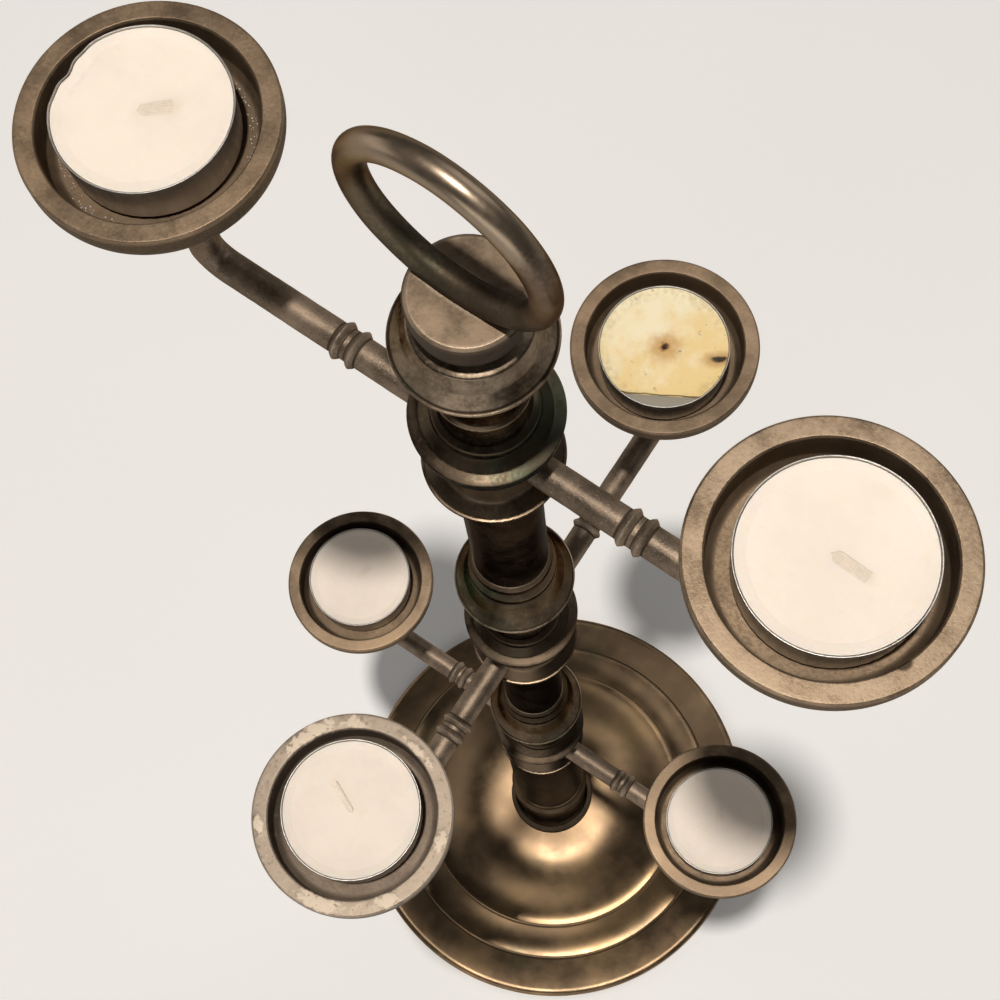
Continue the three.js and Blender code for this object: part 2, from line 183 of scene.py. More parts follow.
class CandelabraFinish(bpy.types.PropertyGroup):
    """Colours of the finishes."""

    # Deep is also the colour of the painted shade on the cap's side, hub flanges, cups and the ring's lower
    # half.
    deep: colour("Deep patina", (0.018, 0.012, 0.008), "Dark brown in hollows and on the column")
    bronze: colour("Bronze", (0.130, 0.090, 0.055), "Body colour of the satin metal")
    # Worn is also the colour of the painted highlights on the ring's top and the saucer tops.
    worn: colour("Worn brass", (0.430, 0.325, 0.220), "Edges and rims rubbed light")
    gold: colour("Gold", (0.520, 0.350, 0.165), "Warm metal where the base is polished")
    verdigris: colour("Verdigris", (0.050, 0.085, 0.055), "Thin green bloom")
    wax: colour("Fresh wax", (0.860, 0.775, 0.690), "Unburnt tealights")
    wax_used: colour("Used wax", (0.800, 0.620, 0.300), "The tealight that has burnt")
    soot: colour("Soot", (0.012, 0.008, 0.005), "Burnt wick and char")
    cotton: colour("Wick", (0.800, 0.700, 0.590), "Waxed cotton")
    foil: colour("Foil", (0.560, 0.545, 0.520), "Pressed aluminium")
    steel: colour("Steel", (0.420, 0.415, 0.400), "Plated fasteners under the base")
    wear: share("Wear", 0.9, "How much the edges are rubbed bright")


class CandelabraStage(bpy.types.PropertyGroup):
    """The floor, the lights and the lens."""

    floor: colour("Floor", (0.96, 0.98, 1.0), "Plain pale floor")
    wall: colour("Wall", (0.58, 0.56, 0.53), "Plain wall far behind the floor")
    key_power: power("Key", 66, "Power of the lamp overhead")
    back_power: power("Back", 15, "Power of the wide soft panel behind")
    front_power: power("Front", 15, "Power of the low soft panel in front")
    left_power: power("Left", 9, "Power of the low soft panel on the left")
    room: share("Room", 0.04, "Brightness of the room")
    lens: bpy.props.FloatProperty(
        name="Lens", description="Focal length on a 36 mm sensor", default=66.18, min=1, unit="CAMERA")


def sizes():
    """The sizes in mm."""
    group = bpy.context.scene.candelabra_sizes
    return SimpleNamespace(**{key: getattr(group, key) * 1000 for key in CandelabraSizes.__annotations__})


# Nodes written as expressions

class Wire:
    """A socket that takes part in sums: each operation adds a Math node."""

    def __init__(self, graph, socket):
        self.graph, self.socket = graph, socket

    def math(self, operation, *others):
        values = {i: value for i, value in enumerate((self, *others))}
        return self.graph.add("ShaderNodeMath", {"operation": operation}, values)

    def __add__(self, other):
        return self.math("ADD", other)

    def __sub__(self, other):
        return self.math("SUBTRACT", other)

    def __mul__(self, other):
        return self.math("MULTIPLY", other)

    def __pow__(self, other):
        return self.math("POWER", other)

    def __rsub__(self, other):
        return self.graph.add("ShaderNodeMath", {"operation": "SUBTRACT"}, {0: other, 1: self})

    __radd__ = __add__
    __rmul__ = __mul__


class Graph:
    """A node tree, with one method that makes any node."""

    def __init__(self, tree):
        self.tree = tree
        tree.nodes.clear()

    def add(self, kind, settings=None, sockets=None, out=0):
        node = self.tree.nodes.new(kind)
        for key, value in (settings or {}).items():
            setattr(node, key, value)
        for key, value in (sockets or {}).items():
            if isinstance(value, Wire):
                self.tree.links.new(value.socket, node.inputs[key])
            else:
                node.inputs[key].default_value = value
        return Wire(self, node.outputs[out]) if len(node.outputs) else node

    def noise(self, place, scale, detail=3.0, rough=0.5, stretch=None):
        if stretch:
            place = self.vector("MULTIPLY", place, stretch)
        return self.add("ShaderNodeTexNoise", {}, {
            "Vector": place, "Scale": scale, "Detail": detail, "Roughness": rough})

    def vector(self, operation, *values, out=0):
        return self.add("ShaderNodeVectorMath", {"operation": operation}, dict(enumerate(values)), out)

    def scaled(self, way, amount):
        return self.add("ShaderNodeVectorMath", {"operation": "SCALE"}, {0: way, "Scale": amount})

    def rise(self, value, low, high):
        """0 below low, 1 above high and smooth between."""
        return self.add("ShaderNodeMapRange", {"interpolation_type": "SMOOTHSTEP"},
                        {0: value, 1: low, 2: high, 3: 0.0, 4: 1.0})

    def blend(self, factor, first, second):
        """One colour over another."""
        first, second = (x if isinstance(x, Wire) else (*x[:3], 1.0) for x in (first, second))
        return self.add("ShaderNodeMix", {"data_type": "RGBA"}, {0: factor, 6: first, 7: second}, 2)

    def own(self, name, out=2):
        """An attribute that the piece's own mesh carries: out 1 is its vector and 2 its number."""
        return self.add("ShaderNodeAttribute", {"attribute_name": name}, {}, out)

    def parts(self, value):
        """The three numbers of a vector."""
        node = self.tree.nodes.new("ShaderNodeSeparateXYZ")
        self.tree.links.new(value.socket, node.inputs[0])
        return [Wire(self, socket) for socket in node.outputs]


# Small helpers

def clamp(value):
    return min(max(value, 0.0), 1.0)


def metres(*lengths):
    return tuple(mm / 1000 for mm in lengths)


def facing(degrees):
    """The level unit vector at a turn."""
    return Vector((math.cos(math.radians(degrees)), math.sin(math.radians(degrees))))


# Profiles of turned pieces

def quarter(r0, z0, r1, z1, steps):
    """A quarter of an ellipse from one point to another. It starts flat."""
    turns = [i * math.pi / 2 / steps for i in range(steps + 1)]
    return [(r0 + (r1 - r0) * math.sin(t), z1 + (z0 - z1) * math.cos(t)) for t in turns]


def ogee(r0, z0, r1, z1, steps):
    """An ogee from one point to another, flat at both ends. It drops late."""
    late = 1.6
    falls = [(1 - math.cos(math.pi * (i / steps) ** late)) / 2 for i in range(steps + 1)]
    return [(r0 + (r1 - r0) * i / steps, z0 + (z1 - z0) * fall) for i, fall in enumerate(falls)]


def hollow(r0, z0, r1, z1, steps, lean=0.0):
    """A hollow sweep down from one point to another, where it runs out flat or still drops by a share."""
    left = [1 - i / steps for i in range(steps + 1)]
    return [(r1 + (r0 - r1) * t, z1 + (z0 - z1) * ((1 - lean) * t * t + lean * t)) for t in left]


def eased(corners, step):
    """A close line of points along a profile. A corner's third number rounds it off, in mm."""
    line, pieces = [], 6
    for i, corner in enumerate(corners):
        at = Vector(corner[:2])
        if len(corner) == 2 or not 0 < i < len(corners) - 1:
            line.append(at)
            continue
        back, on = (Vector(corners[j][:2]) - at for j in (i - 1, i + 1))
        half = back.angle(on) / 2
        cut = min(corner[2] / math.tan(half), 0.48 * back.length, 0.48 * on.length)
        first, last = at + back.normalized() * cut, at + on.normalized() * cut
        for k in range(pieces + 1):
            t = k / pieces
            line.append(first * (1 - t) ** 2 + at * 2 * t * (1 - t) + last * t ** 2)
    close = [line[0]]
    for point in line[1:]:
        gap = (point - close[-1]).length
        if gap < 1e-4:
            continue
        start = close[-1]
        count = max(1, math.ceil(gap / step))
        close += [start.lerp(point, k / count) for k in range(1, count + 1)]
    return close


def edge_marks(points, reach):
    """How much each point of a profile stands on an edge and how much it lies in a hollow, both 0 to 1."""
    run = [0.0]
    for a, b in zip(points, points[1:]):
        run.append(run[-1] + (b - a).length)

    def along(s):
        s = min(max(s, 0.0), run[-1])
        k = next((i for i in range(1, len(run)) if run[i] >= s), len(run) - 1)
        span = run[k] - run[k - 1] or 1.0
        return points[k - 1].lerp(points[k], (s - run[k - 1]) / span)

    edge, hollow = [], []
    for point, s in zip(points, run):
        before, after = point - along(s - reach), along(s + reach) - point
        turn = 0.0
        if before.length > 1e-6 and after.length > 1e-6:
            turn = math.atan2(before.cross(after), before.dot(after))
        edge.append(clamp(turn))
        hollow.append(clamp(-turn))
    return edge, hollow


def base_profile(s):
    skin, seat, foot = s.base_skin, s.foot_radius + 1, 3.0
    dome, step, rim = s.dome_radius, s.step_radius, s.base_radius
    top = [
        (s.bore, s.base_top), *ogee(seat, s.base_top, dome - 1.6, s.dome_height, 40),
        *quarter(dome - 1.4, s.dome_height, dome, s.dome_height - 1.0, 6),
        *hollow(dome + 0.2, s.dome_height - 1.6, step - 1.4, s.step_height, 20, 0.12),
        *quarter(step - 1.2, s.step_height, step, s.step_height - 0.9, 6),
        *hollow(step + 0.3, s.step_height - 1.5, rim - 2.8, s.roll_height, 20, 0.65),
        *quarter(rim - 2.5, s.roll_height, rim, s.roll_height - 2.0, 8),
    ]
    under = [
        (s.bore, s.base_top - skin), *ogee(seat, s.base_top - skin, dome - skin, s.dome_height - skin, 24),
        *hollow(dome - 1, s.dome_height - skin - 1.6, step - skin, s.step_height - skin, 12),
        (step, s.step_height - skin - 2.2), (rim - foot - 1.7, 0), (rim - 1.7, 0), (rim - 0.5, 0.8),
    ]
    return under + top[::-1]


def foot_profile(s):
    r, low, high = s.foot_shaft, s.base_top, s.base_top + s.foot_tall
    return [
        (s.bore, low), (s.foot_radius, low, 0.4), (s.foot_radius, low + 4, 1.3), (r + 1.9, low + 6.4, 1.0),
        (r + 0.5, low + 10, 2.5), (r + 0.5, high - 22, 1.6), (r + 1.7, high - 18.2, 2.2),
        (r + 1.7, high - 12, 2.2), (r - 0.5, high - 8, 0.9), (r - 0.5, high - 5.6, 0.5),
        (r + 0.6, high - 4.6, 0.6), (r + 0.6, high - 1.6, 0.9), (r - 0.1, high, 0.2), (s.bore, high),
    ]


def shaft_profile(s, r, low, high):
    return [(s.bore, low), (r, low, 0.2), (r - 0.15, high - 1.2, 0.5), (r - 0.9, high, 0.2), (s.bore, high)]


def hub_profile(s, axis):
    low, high = axis + s.hub_low + 0.1, axis + s.hub_high - 0.1
    foot, flange, waist, bead = s.hub_foot, s.hub_flange, s.waist, s.neck + 1.9
    return [
        (s.bore, low), (s.shaft, low, 0.3), (foot - 1.2, low + 2.3, 0.6), (foot, low + 3.0, 0.25),
        (foot, low + 3.7, 0.25), (foot - 0.7, low + 3.8, 0.3), (waist + 1.6, low + 6.4, 2.6),
        (waist, low + 10.9, 4), (waist, high - 17.4, 4), (waist + 1.5, high - 13.6, 3),
        (flange - 0.5, high - 10.2, 1.2), (flange, high - 6.6, 0.3), (flange, high - 5.9, 0.25),
        (flange - 0.7, high - 5.7, 0.3), (flange - 2.6, high - 5.2, 1.2), (bead + 0.4, high - 3.2, 0.5),
        (bead + 0.3, high - 0.9, 0.9), (s.neck + 0.6, high, 0.3), (s.bore, high),
    ]


def saucer_profile(s, axis):
    """The ringed neck and the saucer that every collar has."""
    low, rim = axis + s.hub_high, axis + s.saucer_high
    neck_top, neck = rim - 8.3, s.neck
    rings = []
    for i in (1, 2):
        z = low + i * (neck_top - low) / 2.8
        rings += [(neck, z - 1.3, 0.3), (neck + 0.8, z - 0.5, 0.4), (neck + 0.8, z + 0.3, 0.4),
                  (neck, z + 1.2, 0.3)]
    return [
        (s.bore, low), (neck, low, 0.2), *rings, (neck + 0.3, neck_top, 3), (neck + 2.6, rim - 3.9, 2.4),
        (s.saucer - 0.8, rim - 0.8, 0.8), (s.saucer, rim - 0.3, 0.25), (s.saucer, rim + 0.4, 0.25),
        (s.saucer - 0.6, rim + 0.6, 0.3), (s.saucer - 2.9, rim + 4.1, 2),
    ]


def collar_profile(s, axis):
    r, high = s.shaft, axis + s.collar_high
    return saucer_profile(s, axis) + [
        (r + 1.9, axis + s.saucer_high + 9.1, 1.2), (r + 0.7, high - 13.1, 0.7), (r + 1.9, high - 11.2, 0.8),
        (r + 1.9, high - 8.3, 1.0), (r + 0.4, high - 6.2, 0.5), (r + 1.0, high - 4.4, 0.6),
        (r + 1.0, high - 1.5, 0.9), (r, high, 0.2), (s.bore, high),
    ]


def top_collar_profile(s, axis):
    neck, low = s.cap - 2.5, axis + s.cap_low
    return saucer_profile(s, axis) + [
        (neck + 3, low - 2.1, 0.9), (neck + 0.2, low - 1.1, 0.6), (neck, low), (s.bore, low)]


def cap_profile(s, axis):
    low, high, r = axis + s.cap_low, axis + s.cap_low + s.cap_tall, s.cap
    hole = low + s.cap_tall / 2 + 0.3
    return [
        (0, hole), (s.bore, hole), (s.bore, low), (r - 2.5, low, 0.2), (r - 0.7, low + 1.5, 0.8),
        (r - 0.7, low + 3.1, 0.6), (r - 1.8, low + 3.9, 0.4), (r, low + 5.0, 0.7), (r + 0.1, high - 0.9, 0.6),
        (r - 0.8, high, 0.5), (0, high),
    ]


def dish_profile(s, rim):
    low = rim - s.dish_depth - s.dish_floor - s.boss_long
    socket, floor = s.arm + PLAY, rim - s.dish_depth
    boss, inner = socket + s.boss_wall, s.dish_inner
    return [
        (0, low + s.socket), (socket, low + s.socket), (socket, low, 0.3), (boss, low, 0.8),
        (boss, low + 3.6, 0.6), *quarter(boss + 1.4, floor - s.dish_floor, s.dish, rim - s.dish_wall, 26),
        (s.dish, rim - 0.5, 0.4), (s.dish - 0.4, rim, 0.4), (inner + 0.35, rim, 0.3), (inner, rim - 0.5, 0.5),
        (inner - 0.35, floor + 2, 1), (inner - 1.8, floor, 1.6), (0, floor),
    ]


def foil_profile(s, low):
    r, h = s.tealight, s.tealight_tall
    return [
        (0, low), (r - 1.5, low, 0.9), (r - 0.65, low + 1.2, 0.6), (r - 0.3, low + h - 1.3, 0.3),
        (r, low + h - 0.8, 0.3), (r, low + h, 0.12), (r - 0.25, low + h, 0.1), (r - 0.45, low + h - 0.6, 0.2),
        (r - 0.7 - s.foil, low + s.foil, 0.3), (0, low + s.foil),
    ]


def wax_profile(s, low):
    r, top = s.tealight - 0.7 - s.foil - 0.1, low + s.tealight_tall - s.wax_down
    return [
        (0, low + s.foil + 0.1), (r - 0.2, low + s.foil + 0.1, 0.5), (r + 0.15, low + 4),
        (r + 0.72, top + 0.6, 0.12), (r + 0.3, top + 0.5, 0.4), (r - 1.6, top + 0.1, 1.5), (r * 0.5, top),
        (0, top),
    ]


# Geometry Nodes trees

def new_tree(name, inputs):
    """A tree with named inputs, and the wires that come from them."""
    tree = bpy.data.node_groups.new(name, "GeometryNodeTree")
    for label, kind in (("Geometry", "Geometry"), *inputs, ("Material", "Material")):
        tree.interface.new_socket(label, in_out="INPUT", socket_type="NodeSocket" + kind)
    tree.interface.new_socket("Geometry", in_out="OUTPUT", socket_type="NodeSocketGeometry")
    graph = Graph(tree)
    entry = tree.nodes.new("NodeGroupInput")
    return graph, {socket.name: Wire(graph, socket) for socket in entry.outputs if socket.name}


def close_tree(graph, shape, take):
    """Ends a tree: real geometry with its material."""
    whole = graph.add("GeometryNodeRealizeInstances", {}, {"Geometry": shape})
    done = graph.add("GeometryNodeSetMaterial", {}, {"Geometry": whole, "Material": take["Material"]})
    graph.add("NodeGroupOutput", {}, {0: done})
    return graph.tree


def shaken(graph, shape, amount, scale):
    """Moves points a little by a smooth noise, as hand work does."""
    place = graph.add("GeometryNodeInputPosition")
    shake = graph.add("ShaderNodeTexNoise", {}, {"Vector": place, "Scale": scale, "Detail": 1.0}, 1)
    centred = graph.vector("SUBTRACT", shake, (0.5, 0.5, 0.5))
    return graph.add("GeometryNodeSetPosition", {}, {
        "Geometry": shape, "Offset": graph.scaled(centred, amount)})


def lathe_tree():
    """Turns a profile, drawn in the XZ plane, round an upright axis. Points keep their place on the lathe."""
    graph, take = new_tree("turned_on_lathe", (
        ("Facets", "Int"), ("Centre", "Vector"), ("Unevenness", "Float")))
    sweep = 0.5
    flat = graph.add("GeometryNodeTransform", {}, {
        "Geometry": take["Geometry"], "Translation": (-sweep, 0, 0), "Rotation": (math.pi / 2, 0, 0)})
    profile = graph.add("GeometryNodeMeshToCurve", {}, {0: flat})
    circle = graph.add("GeometryNodeCurvePrimitiveCircle", {}, {
        "Resolution": take["Facets"], "Radius": sweep})
    circle = graph.add("GeometryNodeSetCurveNormal", {"mode": "Z_UP"}, {0: circle})
    skin = graph.add("GeometryNodeCurveToMesh", {}, {"Curve": circle, "Profile Curve": profile})
    whole = graph.add("GeometryNodeMergeByDistance", {}, {"Geometry": skin, "Distance": 2e-6})
    place = graph.add("GeometryNodeInputPosition")
    kept = graph.add("GeometryNodeStoreNamedAttribute", {"data_type": "FLOAT_VECTOR", "domain": "POINT"},
                     {"Geometry": whole, "Name": "lathe", "Value": place})
    moved = graph.add("GeometryNodeSetPosition", {}, {"Geometry": kept, "Offset": take["Centre"]})
    return close_tree(graph, shaken(graph, moved, take["Unevenness"], 22.0), take)


def bar_tree():
    """A round bar along a path whose points carry their own girth."""
    graph, take = new_tree("bar_along_path", (("Sides", "Int"), ("Unevenness", "Float"), ("Lump", "Float")))
    path = graph.add("GeometryNodeMeshToCurve", {}, {0: take["Geometry"]})
    girth = graph.add("GeometryNodeInputNamedAttribute", {"data_type": "FLOAT"}, {"Name": "girth"})
    section = graph.add("GeometryNodeCurvePrimitiveCircle", {}, {
        "Resolution": take["Sides"], "Radius": 1.0})
    skin = graph.add("GeometryNodeCurveToMesh", {}, {
        "Curve": path, "Profile Curve": section, "Scale": girth, "Fill Caps": True})
    return close_tree(graph, shaken(graph, skin, take["Unevenness"], take["Lump"]), take)


def flute_tree():
    """Presses upright flutes into the wall of a foil cup."""
    graph, take = new_tree("pressed_flutes", (
        ("Flutes", "Float"), ("Depth", "Float"), ("Low", "Float"), ("High", "Float")))
    place = graph.add("GeometryNodeInputNamedAttribute", {"data_type": "FLOAT_VECTOR"}, {"Name": "lathe"})
    x, y, z = graph.parts(place)
    turn = y.math("ARCTAN2", x)
    wave = (turn * take["Flutes"]).math("SINE")
    fade = 0.001
    above = graph.rise(z, take["Low"], take["Low"] + fade)
    below = 1 - graph.rise(z, take["High"] - fade, take["High"])
    level = graph.vector("MULTIPLY", place, (1, 1, 0))
    rim = graph.rise(graph.vector("LENGTH", level, out=1), 0.0165, 0.0175)
    outward = graph.vector("NORMALIZE", level)
    push = graph.scaled(outward, wave * (above * below) * rim * take["Depth"])
    pressed = graph.add("GeometryNodeSetPosition", {}, {"Geometry": take["Geometry"], "Offset": push})
    return close_tree(graph, pressed, take)


def wick_tree():
    """Twists five strands together along a path. Past the bend they can splay."""
    graph, take = new_tree("twisted_strands", (
        ("Strand", "Float"), ("Lay", "Float"), ("Turns per Metre", "Float"), ("Splay", "Vector"),
        ("Bend", "Float"), ("Apart", "Float")))
    path = graph.add("GeometryNodeMeshToCurve", {}, {0: take["Geometry"]})
    path = graph.add("GeometryNodeResampleCurve", {}, {"Curve": path, "Count": 40})
    node = graph.tree.nodes.new("GeometryNodeDuplicateElements")
    node.domain = "SPLINE"
    node.inputs["Amount"].default_value = STRANDS
    graph.tree.links.new(path.socket, node.inputs["Geometry"])
    strands, which = Wire(graph, node.outputs[0]), Wire(graph, node.outputs["Duplicate Index"])
    run = graph.add("GeometryNodeSplineParameter", {}, {}, 1)
    turn = run * take["Turns per Metre"] * math.tau + which * (math.tau / STRANDS)
    normal = graph.add("GeometryNodeInputNormal")
    tangent = graph.add("GeometryNodeInputTangent")
    side = graph.vector("CROSS_PRODUCT", tangent, normal)
    push = graph.vector("ADD", graph.scaled(normal, turn.math("COSINE") * take["Lay"]),
                        graph.scaled(side, turn.math("SINE") * take["Lay"]))
    past = (run - take["Bend"]).math("MAXIMUM", 0.0)
    apart = take["Apart"] * graph.rise(past, 0.0, 0.0010) + past
    push = graph.vector("ADD", push, graph.scaled(take["Splay"], (which - STRANDS // 2) * apart))
    laid = graph.add("GeometryNodeSetPosition", {}, {"Geometry": strands, "Offset": push})
    section = graph.add("GeometryNodeCurvePrimitiveCircle", {}, {
        "Resolution": 8, "Radius": take["Strand"]})
    skin = graph.add("GeometryNodeCurveToMesh", {}, {
        "Curve": laid, "Profile Curve": section, "Fill Caps": True})
    return close_tree(graph, skin, take)


def spatter_tree():
    """Scatters small flat drops over faces."""
    graph, take = new_tree("wax_spatter", (("Density", "Float"), ("Seed", "Int"), ("Size", "Float")))
    node = graph.tree.nodes.new("GeometryNodeDistributePointsOnFaces")
    for label, key in (("Geometry", "Mesh"), ("Density", "Density"), ("Seed", "Seed")):
        graph.tree.links.new(take[label].socket, node.inputs[key])
    points, turn = Wire(graph, node.outputs["Points"]), Wire(graph, node.outputs["Rotation"])
    drop = graph.add("GeometryNodeMeshIcoSphere", {}, {"Radius": 1.0, "Subdivisions": 1})
    spread = graph.add("FunctionNodeRandomValue", {"data_type": "FLOAT"}, {2: 0.25, 3: 1.0, "Seed": 7}, 1)
    wide = spread * spread * take["Size"]
    scale = graph.add("ShaderNodeCombineXYZ", {}, {0: wide, 1: wide * 0.8, 2: wide * 0.3})
    drops = graph.add("GeometryNodeInstanceOnPoints", {}, {
        "Points": points, "Instance": drop, "Rotation": turn, "Scale": scale})
    return close_tree(graph, drops, take)


TREES = {}


def tree(maker):
    """Each tree is made once."""
    if maker not in TREES:
        TREES[maker] = maker()
    return TREES[maker]


def put(name, data):
    """A new object in the scene."""
    thing = bpy.data.objects.new(name, data)
    bpy.context.scene.collection.objects.link(thing)
    return thing


def meshed(name, points, faces):
    """A plain mesh, in metres."""
    mesh = bpy.data.meshes.new(name)
    mesh.from_pydata(points, [], faces)
    return put(name, mesh)


def harden(piece):
    """Makes what the modifiers show the piece's own plain mesh."""
    depsgraph = bpy.context.evaluated_depsgraph_get()
    mesh = bpy.data.meshes.new_from_object(
        piece.evaluated_get(depsgraph), preserve_all_data_layers=True, depsgraph=depsgraph)
    piece.modifiers.clear()
    piece.data = mesh
    if not len(mesh.polygons):
        raise RuntimeError(f"{piece.name} came out empty")
    return piece


def grow(piece, maker, **values):
    """Runs a tree on a piece. Spaces in an input's name are underscores here."""
    made = tree(maker)
    modifier = piece.modifiers.new(made.name, "NODES")
    modifier.node_group = made
    sockets = [item for item in made.interface.items_tree if item.in_out == "INPUT"]
    identifier = {item.name: item.identifier for item in sockets}
    for label, value in values.items():
        modifier[identifier[label.replace("_", " ")]] = value
    harden(piece)
    piece.data.materials.clear()
    piece.data.materials.append(values.get("Material"))
    piece.data.polygons.foreach_set("material_index", [0] * len(piece.data.polygons))
    return piece


def tidy(piece, sharp=38):
    """Joins doubles, turns every face outwards and keeps true corners crisp."""
    shape = bmesh.new()
    shape.from_mesh(piece.data)
    bmesh.ops.remove_doubles(shape, verts=shape.verts, dist=1e-6)
    bmesh.ops.dissolve_degenerate(shape, edges=shape.edges, dist=1e-7)
    bmesh.ops.recalc_face_normals(shape, faces=shape.faces)
    shape.to_mesh(piece.data)
    shape.free()
    piece.data.shade_smooth()
    piece.data.set_sharp_from_angle(angle=math.radians(sharp))
    return piece


def drawn(name, points, closed, **marks):
    """A line of points in metres as a mesh of edges, whose points carry the named numbers."""
    mesh = bpy.data.meshes.new(name)
    count = len(points)
    edges = [(i, (i + 1) % count) for i in range(count if closed else count - 1)]
    mesh.from_pydata(points, edges, [])
    for key, values in marks.items():
        mesh.attributes.new(key, "FLOAT", "POINT").data.foreach_set("value", values)
    return put(name, mesh)


def turned(name, corners, material, centre=(0, 0), facets=96, step=0.8, uneven=0.0,
           soil=None, rub=None, reach=0.9, keen=1.0):
    """A turned piece from its profile in mm. Two functions of radius and height add to its marks: the first
    paints shade into the grime mark, the second adds wear, with painted highlights on the saucers, to the
    wear mark.
    Reach is how far a corner's wear spreads, and keen how strong it is."""
    points = eased(corners, step)
    closed = corners[0][0] > 0
    edge, hollow = edge_marks(points, reach)
    edge = [mark * keen for mark in edge]
    if soil:
        hollow = [max(mark, soil(p.x, p.y)) for mark, p in zip(hollow, points)]
    if rub:
        edge = [max(mark, rub(p.x, p.y)) for mark, p in zip(edge, points)]
    piece = drawn(name, [metres(p.x, 0, p.y) for p in points], closed, wear=edge, grime=hollow)
    grow(piece, lathe_tree, Facets=facets, Centre=metres(*centre, 0), Unevenness=uneven / 1000,
         Material=material)
    return tidy(piece)


def cut(piece, *cutters):
    """Takes the cutters out of a piece."""
    for cutter in cutters:
        modifier = piece.modifiers.new("cut", "BOOLEAN")
        modifier.operation, modifier.solver, modifier.object = "DIFFERENCE", "EXACT", cutter
    harden(piece)
    for cutter in cutters:
        bpy.data.objects.remove(cutter)
    return tidy(piece)


def settle(piece, body, slot, *nodes):
    """Rides a piece on its body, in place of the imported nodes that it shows."""
    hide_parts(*nodes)
    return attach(piece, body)


# Finishes

FINISHES = {}


def finish(maker, *options):
    """Each finish is made once."""
    key = (maker, options)
    if key not in FINISHES:
        FINISHES[key] = maker(*options)
    return FINISHES[key]


def new_finish(name):
    """A material, its graph, its place on the object and the tones to choose from."""
    material = bpy.data.materials.new(name)
    material.use_nodes = True
    graph = Graph(material.node_tree)
    place = graph.add("ShaderNodeTexCoord", out=3)
    return material, graph, place, bpy.context.scene.candelabra_finish


def seal(graph, sockets):
    """Ends a material in one shader."""
    shader = graph.add("ShaderNodeBsdfPrincipled", {}, sockets)
    graph.add("ShaderNodeOutputMaterial", {}, {0: shader})


def bump(graph, height, depth):
    return graph.add("ShaderNodeBump", {}, {"Strength": 1.0, "Distance": depth, "Height": height})


# How each kind of bronze differs from the plain one.
PLAIN = dict(gold=0.0, fine=1100.0, rings=0.0, spin=0.0)
BRONZES = {
    "base": dict(
        dark=1.1, light=2.2, grey=0.0, wear=0.3, rough=(0.34, 0.44), metal=0.95, grain=0.06, speck=0.05,
        green=0.25, edge=0.7, patch=0.2, gold=0.4, rings=0.03, spin=0.3),
    "column": dict(
        dark=0.42, light=1.15, grey=0.20, wear=0.8, rough=(0.28, 0.42), metal=1.0, grain=0.14, speck=0.08,
        green=0.55, edge=0.15, patch=0.4, gold=0.04, rings=0.06),
    "shaft": dict(
        dark=0.60, light=1.10, grey=0.50, wear=0.7, rough=(0.27, 0.37), metal=1.0, grain=0.08, speck=0.05,
        green=0.45, edge=0.15, patch=0.3, gold=0.03, rings=0.03),
    "arm": dict(
        dark=1.1, light=2.7, grey=0.35, wear=0.55, rough=(0.42, 0.56), metal=0.85, grain=0.75, speck=0.45,
        green=0.12, edge=0.35, patch=0.55, fine=2100.0),
    "dish": dict(
        dark=1.15, light=2.3, grey=0.15, wear=1.0, rough=(0.42, 0.58), metal=0.75, grain=0.28, speck=0.20,
        green=0.03, edge=0.5, patch=0.5, gold=0.08, fine=1300.0, rings=0.08),
    "waxed": dict(
        dark=1.3, light=2.7, grey=0.40, wear=0.7, rough=(0.46, 0.60), metal=0.35, grain=0.55, speck=0.65,
        green=0.03, edge=0.5, patch=0.55, fine=700.0, rings=0.05),
    "cap": dict(
        dark=0.95, light=2.50, grey=0.22, wear=0.7, rough=(0.42, 0.58), metal=0.72, grain=0.18, speck=0.18,
        green=0.08, edge=0.3, patch=0.55, fine=1300.0),
    "ring": dict(
        dark=1.0, light=2.0, grey=0.25, wear=0.6, rough=(0.34, 0.42), metal=0.96, grain=0.08, speck=0.05,
        green=0.45, edge=0.25, patch=0.4, gold=0.10),
}


def toned(rgb, gain, grey):
    """A colour made brighter, and greyer by a share."""
    mean = sum(rgb) / 3
    return [min(gain * (c + (mean - c) * grey), 1.0) for c in rgb]


